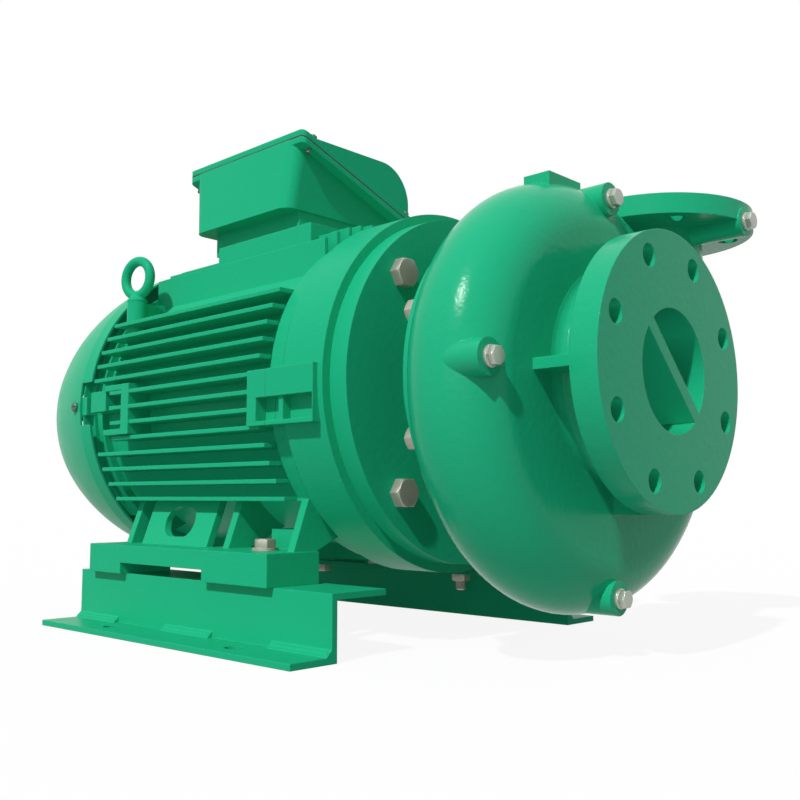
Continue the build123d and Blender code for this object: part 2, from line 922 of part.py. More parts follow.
def bearing_pieces(front_x):
    """Outer ring, inner ring and the caged ball set of one deep-groove bearing."""
    back_x = front_x - bearing_width
    mid_x = (front_x + back_x) / 2
    pitch = (bearing_bore_d + bearing_outer_d) / 4
    track = Pos(mid_x, 0, pitch) * Rot(90, 0, 0) * Circle(ball_d / 2 + slip_gap)
    groove = revolve(track, Axis.X, 360)
    outer = drum(back_x, front_x, bearing_outer_d - slip_gap, bearing_outer_d - 2 * bearing_ring_t)
    inner = drum(back_x, front_x, bearing_bore_d + 2 * bearing_ring_t, bearing_bore_d)
    cage_half = cage_width / 2
    cage = drum(mid_x - cage_half, mid_x + cage_half, 2 * pitch + cage_wall, 2 * pitch - cage_wall)
    for index in range(ball_count):
        angle = radians(360 * index / ball_count)
        cage += Pos(mid_x, pitch * cos(angle), pitch * sin(angle)) * Sphere(ball_d / 2)
    return at_shaft(outer - groove), at_shaft(inner - groove), at_shaft(cage)


def make_bearing_cap():
    x0 = bearing_back_x - bearing_cap_t
    outer_d = bearing_outer_d + 2 * bearing_cap_proud
    return at_shaft(drum(x0, bearing_back_x, outer_d, shaft_core_d + 2))


# Motor frame
def fin_reach(offset):
    """Half chord of the round fin envelope at a distance from the axis."""
    return (fin_envelope_d**2 / 4 - offset**2) ** 0.5


def make_frame():
    front_x = shield_back_x
    rear_x = frame_rear_x
    body = drum(rear_x, front_x, frame_shell_d)
    body += drum(front_x - frame_front_ring, front_x, frame_ring_d)
    fin_x1 = front_x - fin_front_gap
    fin_x0 = rear_x + fin_rear_gap
    for row in range(fin_rows):
        z = fin_top_z - row * fin_pitch
        reach = fin_reach(z)
        short = ear_low_z - fin_t < z < ear_high_z + fin_t
        x0 = fin_x0 + rear_lug_start if short else fin_x0
        x1 = ear_back_x - ear_lug_length / 2 if short else fin_x1
        body += block(x0, x1, -reach, reach, z - fin_t / 2, z + fin_t / 2)
    for row in range(top_fin_rows):
        y = (row - (top_fin_rows - 1) / 2) * top_fin_pitch
        body += block(fin_x0, fin_x1, y - fin_t / 2, y + fin_t / 2, 0, fin_reach(y))
    for row in bottom_fins:
        y = row * fin_pitch
        low_z = bottom_fin_lift - fin_reach(y)
        body += block(fin_x0, fin_x1, y - fin_t / 2, y + fin_t / 2, low_z, 0)
    top_z = pedestal_top_z - shaft_z
    body += block(pedestal_x0, pedestal_x1, -pedestal_half_y, pedestal_half_y, pedestal_root, top_z)
    clear_x0 = neck_x0 - neck_rib_t
    body -= block(clear_x0, pedestal_x1, -pedestal_half_y, pedestal_half_y, top_z, fin_envelope_d)
    lug_root = frame_shell_d / 2 - 10
    front_lug = block(
        ear_back_x - ear_lug_length, ear_back_x - running_gap, lug_root, ear_reach, ear_low_z, ear_high_z
    )
    front_lug -= block(
        ear_back_x - ear_lug_length / 2,
        ear_back_x,
        ear_reach - ear_pocket_depth,
        ear_reach + 1,
        ear_pocket_low_z,
        ear_pocket_high_z,
    )
    lug_x = rear_x + rear_lug_start
    rear_lug = block(
        lug_x, lug_x + rear_lug_length, frame_shell_d / 2 - 10, ear_reach, rear_lug_low_z, rear_lug_high_z
    )
    rear_lug -= block(
        lug_x - 1,
        lug_x + rear_lug_length * 0.7,
        frame_shell_d / 2 + 2,
        ear_reach + 1,
        rear_lug_low_z + rear_lug_rim,
        rear_lug_high_z - rear_lug_rim,
    )
    body += both_sides(front_lug + rear_lug)
    body += both_sides(foot())
    body -= both_sides(foot_cuts())
    body -= drum(rear_x, front_x, frame_bore_d)
    body += Pos(eyebolt_x, eyebolt_y, eyebolt_seat_z - eyebolt_boss / 2) * Cylinder(
        eyebolt_collar_d / 2, eyebolt_boss
    )
    rib_half = eyebolt_rib_t / 2
    rib_y = -pedestal_half_y
    rib_z = eyebolt_seat_z - eyebolt_boss
    body += block(eyebolt_x - rib_half, eyebolt_x + rib_half, eyebolt_y, rib_y, rib_z, eyebolt_seat_z)
    tapped = eyebolt_shank + 2
    body -= Pos(eyebolt_x, eyebolt_y, eyebolt_seat_z - tapped / 2) * Cylinder(
        eyebolt_shank_d / 2 + slip_gap, tapped
    )
    for x, y in box_screw_spots():
        body -= Pos(x, y, top_z - box_screw_grip / 2) * Cylinder(
            box_screw_d / 2 + slip_gap, box_screw_grip
        )
    return at_shaft(body)


foot_z = -foot_to_shaft
foot_top_z = foot_z + foot_bar_height
ledge_z = fin_top_z - (fin_rows - 1) * fin_pitch
bar_front_x = foot_front_x + foot_front_margin
bar_back_x = foot_rear_x - foot_rear_margin
bar_y = rail_web_y + foot_overhang
eyebolt_seat_z = eyebolt_rise - eyebolt_ring_d / 2 - eyebolt_collar_t / 2


def across(x0, x1, points):
    """Prism along X between two stations from a (y, z) outline."""
    return extrude(Plane.YZ.offset(x0) * make_face(Polyline(*points, close=True)), x1 - x0)


def foot():
    """Foot on the far side: bar, ledge, three webs, the wall with its window and a step."""
    lean = foot_web_y - foot_ledge_y
    body = block(bar_back_x, bar_front_x, bar_y - foot_bar_width, bar_y, foot_z, foot_top_z)
    body += block(
        bar_back_x + foot_web_t,
        bar_front_x - foot_web_t,
        foot_ledge_y - foot_ledge_width,
        foot_ledge_y,
        ledge_z - fin_t / 2,
        ledge_z + fin_t / 2,
    )
    for setback in foot_web_setbacks:
        x = bar_back_x + setback
        body += across(
            x - foot_web_t / 2,
            x + foot_web_t / 2,
            [
                (foot_ledge_y, ledge_z),
                (foot_web_y, foot_top_z),
                (foot_web_root_y, foot_top_z),
                (foot_web_shell_y, ledge_z - foot_web_drop),
                (foot_web_shell_y, ledge_z),
            ],
        )
    outer = foot_ledge_y - 1
    body += across(
        foot_plate_x0,
        foot_plate_x1,
        [
            (outer, ledge_z),
            (outer + lean, foot_top_z),
            (outer + lean - foot_plate_t, foot_top_z),
            (outer - foot_plate_t, ledge_z),
        ],
    )
    window = extrude(SlotOverall(foot_window_length, foot_window_height), foot_web_y - foot_web_root_y)
    window_z = (foot_top_z + ledge_z) / 2
    body -= Pos(foot_window_x, foot_web_y, window_z) * Rot(90, 0, 0) * window
    step_x = foot_front_x - foot_step_length / 2
    step_y = bar_y - foot_bar_width
    body += block(
        step_x,
        step_x + foot_step_length,
        step_y - foot_step_width,
        step_y,
        foot_top_z - foot_step_height,
        foot_top_z + foot_step_height,
    )
    return body


def foot_cuts():
    """Notch under the far bar, with the bolt holes and their spot faces."""
    notch_x = bar_back_x + foot_notch_setback
    cuts = block(
        notch_x,
        notch_x + foot_notch_length,
        bar_y - foot_bar_width - 1,
        bar_y + 1,
        foot_z - 1,
        foot_z + foot_notch_height,
    )
    bolt_y = foot_pitch_y / 2
    hole_r = foot_bolt_d / 2 + bolt_gap
    spot_r = foot_washer_d / 2 + bolt_gap
    for x in (foot_front_x, foot_rear_x):
        cuts += Pos(x, bolt_y, foot_z + foot_bar_height / 2) * Cylinder(hole_r, foot_bar_height)
    cuts += Pos(foot_front_x, bolt_y, foot_top_z + foot_bolt_af / 2) * Cylinder(spot_r, foot_bolt_af)
    return cuts


def make_eyebolt():
    wire = (eyebolt_ring_d - eyebolt_hole_d) / 2
    ring = Torus((eyebolt_ring_d - wire) / 2, wire / 2)
    eye = Pos(0, 0, eyebolt_rise) * Rot(0, 0, eyebolt_turn) * Rot(90, 0, 0) * ring
    collar = Pos(0, 0, eyebolt_seat_z + eyebolt_collar_t / 2) * Cylinder(
        eyebolt_collar_d / 2, eyebolt_collar_t
    )
    shank = Pos(0, 0, eyebolt_seat_z - eyebolt_shank / 2) * Cylinder(eyebolt_shank_d / 2, eyebolt_shank)
    return at_shaft(Pos(eyebolt_x, eyebolt_y, 0) * (eye + collar + shank))


core_front_x = core_mid_x + core_length / 2
core_back_x = core_mid_x - core_length / 2


def make_stator_core():
    outer_d = frame_bore_d - 2 * slip_gap
    return at_shaft(drum(core_back_x, core_front_x, outer_d, stator_bore_d))


def make_windings():
    inner_d = stator_bore_d + 2 * winding_lift
    front = drum(core_front_x, core_front_x + winding_length, winding_d, inner_d)
    back = drum(core_back_x - winding_length, core_back_x, winding_d, inner_d)
    return Compound(children=[at_shaft(front), at_shaft(back)])


def make_rotor_core():
    return at_shaft(drum(core_back_x, core_front_x, stator_bore_d - 2 * air_gap, shaft_core_d))


def make_rotor_rings():
    outer_d = stator_bore_d - 2 * rotor_ring_inset
    inner_d = outer_d - 2 * rotor_ring_depth
    front = drum(core_front_x, core_front_x + rotor_ring_length, outer_d, inner_d)
    back = drum(core_back_x - rotor_ring_length, core_back_x, outer_d, inner_d)
    return Compound(children=[at_shaft(front), at_shaft(back)])


def make_rear_shield():
    hub_r = bearing_outer_d / 2 + bearing_housing_wall - 2
    body = turned(
        [
            (frame_rear_x, hub_r),
            (frame_rear_x, frame_bore_d / 2 - 10),
            (frame_rear_x + shield_spigot, frame_bore_d / 2 - 10),
            (frame_rear_x + shield_spigot, frame_bore_d / 2 - slip_gap),
            (frame_rear_x, frame_bore_d / 2 - slip_gap),
            (frame_rear_x, rear_shield_d / 2),
            (rear_shield_x + 4, rear_shield_d / 2),
            (rear_shield_x, rear_shield_d / 2 - 10),
            (rear_shield_x - 4, 50),
            (rear_shield_x - 4, 26),
            (rear_bearing_back_x, 26),
            (rear_bearing_back_x, bearing_outer_d / 2),
            (rear_bearing_front_x, bearing_outer_d / 2),
            (rear_bearing_front_x, hub_r),
        ]
    )
    root = frame_shell_d / 2 + running_gap
    arm_x = frame_rear_x + rear_lug_start - running_gap
    step_x = rear_shield_x + rear_arm_step
    arm = block(step_x, arm_x, root, cowl_d / 2, cowl_lug_low_z, cowl_lug_high_z)
    arm += block(rear_shield_x + 2, step_x, root, rear_arm_inner_d / 2, cowl_lug_low_z, cowl_lug_high_z)
    body += both_sides(arm)
    pad_x = frame_rear_x - cowl_screw_x - pad_screw_margin
    pad_half = cowl_pad_width / 2
    pad = block(pad_x, rear_shield_x + 6, frame_shell_d / 2, cowl_d / 2, -pad_half, pad_half)
    pad &= revolve(Plane.XZ * make_face(cowl_outline(cowl_wall + slip_gap)), Axis.X, 360)
    for side in (0, 90, 180, 270):
        body += Rot(side, 0, 0) * pad
        body -= cowl_screw_hole(side)
    return at_shaft(body)


def cowl_screw_hole(side, extra=0.0):
    """Radial hole for one screw that holds the cowl to its pad."""
    length = cowl_screw_length + 4
    reach = cowl_d / 2 + 1
    hole = Pos(frame_rear_x - cowl_screw_x, reach - length / 2, 0) * Rot(90, 0, 0) * Cylinder(
        cowl_screw_d / 2 + slip_gap + extra, length
    )
    return Rot(side, 0, 0) * hole


def make_cowl_screws():
    """Pan-head screws through the cowl into the rear shield's pads."""
    reach = cowl_d / 2 - cowl_screw_drop
    shank = Pos(0, reach - cowl_screw_length / 2, 0) * Rot(90, 0, 0) * Cylinder(
        cowl_screw_d / 2, cowl_screw_length
    )
    head = Pos(0, reach + cowl_screw_head / 2, 0) * Rot(90, 0, 0) * Cylinder(
        0.9 * cowl_screw_d, cowl_screw_head
    )
    screw = Pos(frame_rear_x - cowl_screw_x, 0, 0) * (shank + head)
    return Compound(children=[at_shaft(Rot(side, 0, 0) * screw) for side in (0, 90, 180, 270)])


def make_fan():
    body = drum(fan_hub_x, fan_front_x, fan_hub_d, fan_seat_d)
    body += drum(fan_front_x - fan_disc_t, fan_front_x, fan_disc_share * fan_d, fan_hub_d - 2)
    half = fan_blade_t / 2
    blade = block(fan_back_x, fan_front_x, fan_hub_d / 2 - half, fan_d / 2, -half, half)
    for index in range(fan_blades):
        body += Rot(360 * index / fan_blades, 0, 0) * blade
    return at_shaft(body)


def make_fan_clip():
    """Open retaining ring in the shaft groove behind the fan."""
    ring = drum(fan_hub_x - clip_t, fan_hub_x, clip_d, clip_groove_d)
    mouth = block(fan_hub_x - clip_t - 1, fan_hub_x + 1, -clip_t, clip_t, -clip_d, 0)
    return at_shaft(ring - mouth)


def cowl_outline(inset):
    """Half section of the cowl: short skirt, curved taper, round corner, flat end."""
    front_x = frame_rear_x
    skirt_x = front_x - cowl_straight
    taper_x = skirt_x - cowl_taper
    rear_x = taper_x - cowl_corner + inset
    r = cowl_d / 2 - inset
    taper_r = r - cowl_taper_drop
    face_r = taper_r - cowl_corner_drop
    sag_r = (r + taper_r) / 2 + cowl_taper_sag
    corner_mid = (taper_x - 0.62 * (cowl_corner - inset), taper_r - 0.39 * cowl_corner_drop)
    return [
        Line((front_x, 0), (front_x, r)),
        Line((front_x, r), (skirt_x, r)),
        ThreePointArc((skirt_x, r), ((skirt_x + taper_x) / 2, sag_r), (taper_x, taper_r)),
        ThreePointArc((taper_x, taper_r), corner_mid, (rear_x, face_r)),
        Line((rear_x, face_r), (rear_x, 0)),
        Line((rear_x, 0), (front_x, 0)),
    ]


def make_cowl():
    outer = revolve(Plane.XZ * make_face(cowl_outline(0)), Axis.X, 360)
    inner = revolve(Plane.XZ * make_face(cowl_outline(cowl_wall)), Axis.X, 360)
    body = outer - inner
    rear_x = frame_rear_x - cowl_straight - cowl_taper - cowl_corner
    cowl_face_d = cowl_d - 2 * cowl_taper_drop - 2 * cowl_corner_drop
    slots = Sketch()
    pitch = grille_bar + grille_gap
    count = int(cowl_face_d / 2 / pitch)
    for index in range(1, count):
        r0 = index * pitch
        slots += Circle(r0 + grille_gap) - Circle(r0)
    for angle in (0, 45, 90, 135):
        slots -= Rot(0, 0, angle) * Rectangle(cowl_face_d, grille_spoke)
    body -= extrude(Plane.YZ.offset(rear_x - 1) * slots, cowl_wall + 2)
    notch_x = frame_rear_x - cowl_notch
    notch_y = cowl_d / 2 - cowl_notch_depth
    notch = block(
        notch_x, frame_rear_x + 1, notch_y, cowl_d / 2 + 1, cowl_notch_low_z, cowl_notch_high_z
    )
    body -= both_sides(notch)
    for side in (0, 90, 180, 270):
        body -= cowl_screw_hole(side, running_gap)
    return at_shaft(body)


# Terminal box
def box_solid(inset, z0, z1):
    """Drafted box between two heights, each wall leaning on its own."""
    def section(z):
        share = (z - box_bottom_z) / (box_top_z - box_bottom_z)
        x0 = box_bottom_x0 + share * (box_top_x0 - box_bottom_x0) + inset
        x1 = box_bottom_x1 + share * (box_top_x1 - box_bottom_x1) - inset
        y0 = -box_near_y + share * (box_near_y - box_near_top_y) + inset
        y1 = box_far_y + share * (box_far_top_y - box_far_y) - inset
        outline = RectangleRounded(x1 - x0, y1 - y0, box_corner - inset / 2)
        return Pos((x0 + x1) / 2, (y0 + y1) / 2, z) * outline

    return loft(Sketch() + [section(z0), section(z1)])


joint_near_z = box_top_z - joint_below_top
joint_slope = -joint_drop / (box_far_top_y + box_near_top_y)
board_z = box_bottom_z + box_wall


def joint_height(y):
    """Height of the slanting joint of box and lid at a distance across."""
    return joint_near_z + joint_slope * (y + box_near_top_y)


def above_joint(offset=0.0):
    """Wedge of space above the slanting joint of box and lid."""
    y0 = -2 * box_near_y
    y1 = 2 * box_far_y
    high = box_top_z + joint_drop
    return across(
        2 * box_top_x0,
        4 * box_top_x1,
        [(y0, joint_height(y0) + offset), (y1, joint_height(y1) + offset), (y1, high), (y0, high)],
    )


def joint_band(low, high):
    """Lip along the joint between two offsets from it."""
    x0 = box_top_x0 - lip_proud
    x1 = box_top_x1 + lip_proud
    y_mid = (box_far_top_y - box_near_top_y) / 2
    outline = RectangleRounded(x1 - x0, box_far_top_y + box_near_top_y, lip_corner)
    plan = Pos((x0 + x1) / 2, y_mid, box_bottom_z - joint_drop) * outline
    return (extrude(plan, 3 * joint_drop) & above_joint(low)) - above_joint(high)


def box_screw_spots():
    """Corners of the neck where the box is screwed to the frame."""
    y = neck_half_y - box_screw_margin
    xs = (neck_x0 + box_screw_margin, neck_x1 - box_screw_margin)
    return [(x, side * y) for x in xs for side in (-1, 1)]


def lid_screw_frames():
    """Planes square to the joint at the four corners of the lip."""
    frames = []
    for x in (box_top_x0 - lip_proud / 2, box_top_x1 + lip_proud / 2):
        for y in (lid_screw_margin - box_near_top_y, box_far_top_y - lid_screw_margin):
            frames.append(
                Plane(origin=(x, y, joint_height(y)), x_dir=(1, 0, 0), z_dir=(0, -joint_slope, 1))
            )
    return frames


def terminal_spots():
    ys = (-terminal_pitch_y, 0, terminal_pitch_y)
    return [(board_x + side * terminal_pitch_x / 2, y) for side in (-1, 1) for y in ys]


def make_box():
    body = box_solid(0, box_bottom_z, box_top_z) - above_joint(0)
    body += joint_band(-lip_t, 0)
    body -= box_solid(box_wall, box_bottom_z + box_wall, box_top_z + 2)
    body += block(neck_x0, neck_x1, -neck_half_y, neck_half_y, pedestal_top_z, box_bottom_z + 1)
    way_y = wire_way_half_y
    body -= block(wire_way_x0, wire_way_x1, -way_y, way_y, pedestal_top_z - 1, board_z + 1)
    length = board_z - pedestal_top_z
    for x, y in box_screw_spots():
        body -= Pos(x, y, board_z - length / 2) * Cylinder(box_screw_d / 2 + slip_gap, length)
    for frame in lid_screw_frames():
        body -= frame * lid_screw_hole()
    return body


def lid_screw_hole():
    return Cylinder(lid_screw_d / 2 + slip_gap, 2 * lid_screw_length)


def lid_profile(inset):
    """Lid section across the box: flat top, rounded far shoulder."""
    top = box_top_z - inset
    near = -box_near_top_y + inset
    far = box_far_top_y - inset
    low = joint_height(far) - 20
    radius = lid_corner - inset
    return make_face(
        [
            Line((near, low), (near, top)),
            Line((near, top), (far - radius, top)),
            RadiusArc((far - radius, top), (far, top - radius), radius),
            Line((far, top - radius), (far, low)),
            Line((far, low), (near, low)),
        ]
    )


def make_lid():
    x0 = box_top_x0 + lid_step
    x1 = box_top_x1 - lid_step
    outer = extrude(Plane.YZ.offset(x0) * lid_profile(0), x1 - x0)
    inner = extrude(Plane.YZ.offset(x0 + box_wall) * lid_profile(box_wall), x1 - x0 - 2 * box_wall)
    body = outer + joint_band(gasket_t, lip_t + gasket_t)
    body = (body - inner) & above_joint(gasket_t)
    for frame in lid_screw_frames():
        body -= frame * lid_screw_hole()
    return body


def make_lid_gasket():
    band = joint_band(0, gasket_t) - box_solid(box_wall, box_bottom_z, box_top_z + 20)
    for frame in lid_screw_frames():
        band -= frame * lid_screw_hole()
    return band


def make_lid_screws():
    """Cheese-head screws through the lid's lip into the box's."""
    seat = (lip_t + gasket_t) / (1 + joint_slope**2) ** 0.5
    head = Pos(0, 0, seat + lid_screw_head / 2) * Cylinder(lid_screw_head_d / 2, lid_screw_head)
    shank = Pos(0, 0, seat - lid_screw_length / 2) * Cylinder(lid_screw_d / 2, lid_screw_length)
    return Compound(children=[frame * (head + shank) for frame in lid_screw_frames()])


def make_box_screws():
    """Hexagon screws from inside the box through its neck into the frame."""
    length = board_z - pedestal_top_z + box_screw_grip - 2
    screw = upright_hexagon(box_screw_af, board_z, box_screw_head)
    screw += Pos(0, 0, board_z - length / 2) * Cylinder(box_screw_d / 2, length)
    return Compound(children=[Pos(x, y, 0) * screw for x, y in box_screw_spots()])


def make_terminal_board():
    body = Pos(board_x, 0, board_z + board_t / 2) * Box(board_length, board_width, board_t)
    for x, y in terminal_spots():
        body -= Pos(x, y, board_z + board_t / 2) * Cylinder(terminal_d / 2 + slip_gap, board_t)
    return body


def make_terminal_studs():
    middle = board_z + 2 + terminal_length / 2
    stud = Pos(0, 0, middle) * Cylinder(terminal_d / 2, terminal_length)
    stud += upright_hexagon(1.6 * terminal_d, board_z + board_t, 0.8 * terminal_d)
    return Compound(children=[Pos(x, y, 0) * stud for x, y in terminal_spots()])


# Rails and foot bolts
def make_rail(side):
    """Z-section rail: foot flange outwards, top flange inwards."""
    w = rail_web_y
    t = rail_wall
    h = rail_height
    path = [
        (w + rail_foot_width, 0),
        (w + rail_foot_width, t),
        (w, t),
        (w, h),
        (w - rail_top_width, h),
        (w - rail_top_width, h - t),
        (w - t, h - t),
        (w - t, 0),
    ]
    body = across(-rail_length / 2, rail_length / 2, path)
    gap = (rail_length - 3 * weld_length) / 2
    for index in range(3):
        x0 = -rail_length / 2 + index * (weld_length + gap)
        root = w - t / 2
        bead = [
            (root, t / 2),
            (w + weld_leg, t / 2),
            (w + weld_leg, t),
            (w, t + weld_leg),
            (root, t + weld_leg),
        ]
        body += across(x0, x0 + weld_length, bead)
    for x in (-anchor_pitch_x / 2, anchor_pitch_x / 2):
        body -= Pos(x, anchor_pitch_y / 2, t / 2) * Cylinder(anchor_hole_d / 2, t)
    for x in (foot_front_x, foot_rear_x):
        body -= Pos(x, foot_pitch_y / 2, h - t / 2) * Cylinder(foot_bolt_d / 2 + bolt_gap, t)
    if side < 0:
        body = mirror(body, Plane.XZ)
    return body


def upright_hexagon(across_flats, z0, height):
    """Hexagonal prism along Z."""
    section = RegularPolygon(across_flats / 2, 6, major_radius=False)
    return Pos(0, 0, z0) * extrude(section, height)


bar_top_z = rail_height + foot_bar_height
rail_under_z = rail_height - rail_wall


def at_feet(front, rear):
    """The front foot's piece on both sides, then the rear foot's."""
    spots = []
    for x, piece in ((foot_front_x, front), (foot_rear_x, rear)):
        if piece is not None:
            spots += [Pos(x, side * foot_pitch_y / 2, 0) * piece for side in (-1, 1)]
    return Compound(children=spots)


def make_foot_bolts():
    """Front pair from above with nuts below, rear pair from below into the foot."""
    seat_z = bar_top_z + foot_washer_t
    end_z = rail_under_z - foot_bolt_tail
    front = upright_hexagon(foot_bolt_af, seat_z, foot_bolt_head)
    front += Pos(0, 0, (seat_z + end_z) / 2) * Cylinder(foot_bolt_d / 2, seat_z - end_z)
    head_z = rail_under_z - foot_washer_t - foot_bolt_head
    top_z = bar_top_z - foot_web_t
    rear = upright_hexagon(foot_bolt_af, head_z, foot_bolt_head)
    rear += Pos(0, 0, (head_z + top_z) / 2) * Cylinder(foot_bolt_d / 2, top_z - head_z)
    return at_feet(front, rear)


def make_foot_washers():
    ring = Cylinder(foot_washer_d / 2, foot_washer_t) - Cylinder(foot_bolt_d / 2 + bolt_gap, foot_washer_t)
    front = Pos(0, 0, bar_top_z + foot_washer_t / 2) * ring
    rear = Pos(0, 0, rail_under_z - foot_washer_t / 2) * ring
    return at_feet(front, rear)


def make_foot_nuts():
    nut = upright_hexagon(foot_bolt_af, rail_under_z - foot_nut_t, foot_nut_t)
    nut -= Pos(0, 0, rail_under_z - foot_nut_t / 2) * Cylinder(foot_bolt_d / 2 + slip_gap, foot_nut_t)
    return at_feet(nut, None)


outer_ring, inner_ring, ball_set = bearing_pieces(bearing_front_x)
rear_outer, rear_inner, rear_balls = bearing_pieces(rear_bearing_front_x)

write("volute_casing", make_volute())
write("front_wear_ring", make_wear_ring())
write("casing_plugs", make_plugs())
write("casing_cover", make_cover())
write("casing_seal_ring", make_casing_seal_ring())
write("casing_studs", make_casing_studs())
write("casing_nuts", make_casing_nuts())
write("impeller", make_impeller())
write("impeller_key", make_impeller_key())
write("impeller_washer", make_impeller_washer())
write("impeller_nut", make_impeller_nut())
write("shaft_sleeve", make_sleeve())
write("seal_seat", make_seal_seat())
write("seal_head", make_seal_head())
write("seal_spring", make_seal_spring())
write("water_slinger", make_slinger())
write("motor_bracket", make_bracket())
write("bracket_bolts", make_flange_bolts())
write("drive_end_shield", make_drive_shield())
write("drive_bearing_outer_ring", outer_ring)
write("drive_bearing_inner_ring", inner_ring)
write("drive_bearing_balls", ball_set)
write("drive_bearing_cap", make_bearing_cap())
write("stator_frame", make_frame())
write("stator_core", make_stator_core())
write("stator_windings", make_windings())
write("rotor_core", make_rotor_core())
write("rotor_end_rings", make_rotor_rings())
write("pump_shaft", make_shaft())
write("rear_end_shield", make_rear_shield())
write("rear_bearing_outer_ring", rear_outer)
write("rear_bearing_inner_ring", rear_inner)
write("rear_bearing_balls", rear_balls)
write("cooling_fan", make_fan())
write("fan_cowl", make_cowl())
write("cowl_screws", make_cowl_screws())
write("fan_clip", make_fan_clip())
write("lifting_eyebolt", make_eyebolt())
write("terminal_box", make_box())
write("terminal_box_lid", make_lid())
write("terminal_box_gasket", make_lid_gasket())
write("lid_screws", make_lid_screws())
write("box_screws", make_box_screws())
write("terminal_board", make_terminal_board())
write("terminal_studs", make_terminal_studs())
write("rail_near", make_rail(-1))
write("rail_far", make_rail(1))
write("foot_bolts", make_foot_bolts())
write("foot_washers", make_foot_washers())
write("foot_nuts", make_foot_nuts())
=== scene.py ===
# %% [markdown]
# A close-coupled centrifugal water pump stands on two folded steel rails.
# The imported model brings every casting, shaft and ring at its real size, so this lesson
# adds what a maker's eye looks for: turned bolts, weld beads, fillets and the paint.
# Lengths in this script are written in millimetres and multiplied by mm.

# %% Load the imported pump
import json
import math

import bpy
from mathutils import Matrix, Vector


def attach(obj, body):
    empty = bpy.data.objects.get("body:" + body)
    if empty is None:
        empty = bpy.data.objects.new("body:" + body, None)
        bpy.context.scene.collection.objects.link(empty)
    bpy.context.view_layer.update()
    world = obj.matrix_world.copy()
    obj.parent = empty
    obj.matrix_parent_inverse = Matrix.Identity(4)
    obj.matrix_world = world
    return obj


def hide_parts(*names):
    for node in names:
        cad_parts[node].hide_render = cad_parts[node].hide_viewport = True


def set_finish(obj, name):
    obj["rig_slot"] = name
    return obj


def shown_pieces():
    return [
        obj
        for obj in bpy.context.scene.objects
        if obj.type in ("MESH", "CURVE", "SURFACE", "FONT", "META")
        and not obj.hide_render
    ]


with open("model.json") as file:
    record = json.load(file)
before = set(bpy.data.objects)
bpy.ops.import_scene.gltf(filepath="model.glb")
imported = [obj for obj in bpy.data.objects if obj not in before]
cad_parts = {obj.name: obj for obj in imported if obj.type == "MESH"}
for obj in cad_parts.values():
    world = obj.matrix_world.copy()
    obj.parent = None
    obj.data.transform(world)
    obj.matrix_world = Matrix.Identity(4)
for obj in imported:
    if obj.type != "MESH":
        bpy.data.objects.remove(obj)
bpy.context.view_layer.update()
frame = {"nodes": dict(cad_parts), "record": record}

mm = 0.001
print("CAD nodes:", len(frame["nodes"]))

# %% [markdown]
# The camera stands low in front of the suction flange, a little to the near side.
# Its place was worked out from the flange's eight bolt holes, so every edge of the pump
# falls where the photograph has it. The three directions below are the camera's own.

# %% Set up the camera
azimuth = math.radians(43.5)
tilt = math.radians(-5.68)
camera_place = Vector((791.4, -713.5, 133.5)) * mm
lens_length = 44.01
film_width = 36.0
nearest_seen = 10 * mm

right = Vector((math.cos(azimuth), math.sin(azimuth), 0))
back = Vector(
    (math.sin(azimuth) * math.cos(tilt), -math.cos(azimuth) * math.cos(tilt), math.sin(tilt))
)
up = back.cross(right)

bpy.ops.object.camera_add()
camera = bpy.context.object
camera_turn = Matrix((right, up, back)).transposed().to_4x4()
camera.matrix_world = Matrix.Translation(camera_place) @ camera_turn
camera.data.lens = lens_length
camera.data.sensor_width = film_width
camera.data.clip_start = nearest_seen
bpy.context.scene.camera = camera
print("Camera height above the floor:", round(camera_place.z, 3), "m")

# %% [markdown]
# One small lamp stands high on the near side. Its direction was worked out from two shadows
# in the photograph, below the side boss and below the neck's rib. A weak fill without
# shadows lifts what the lamp doesn't reach, and the rest comes evenly from all round. The
# view transform stays plain, so that a paint colour comes out about as it is written.

# %% Add the lamp and the fill
lamp_from = Vector((0.17, -0.62, 0.64))
lamp_strength = 2.9
lamp_width = math.radians(2)
fill_from = Vector((0.36, -0.90, -0.25))
fill_strength = 1.25
fill_width = math.radians(60)
ambient_level = 0.33

bpy.ops.object.light_add(type="SUN")
lamp = bpy.context.object
lamp.data.energy = lamp_strength
lamp.data.angle = lamp_width
lamp.rotation_mode = "QUATERNION"
lamp.rotation_quaternion = lamp_from.to_track_quat("Z", "Y")

bpy.ops.object.light_add(type="SUN")
fill = bpy.context.object
fill.data.energy = fill_strength
fill.data.angle = fill_width
fill.data.use_shadow = False
fill.data.specular_factor = 0.0
fill.rotation_mode = "QUATERNION"
fill.rotation_quaternion = fill_from.to_track_quat("Z", "Y")
bpy.context.scene.view_settings.view_transform = "Standard"
print("Lamp height:", round(math.degrees(math.atan2(lamp_from.z, -lamp_from.y))), "degrees")

# %% [markdown]
# Shader maths reads best as plain sums. Level wraps one socket, so that wear * 0.5 + 1
# adds its Math nodes by itself. Finish holds one material, and its node method makes
# any node: the settings go in first, then the values or links of its sockets.

# %% Define the two shader helpers
bevel_samples = 4
edge_gain = 4


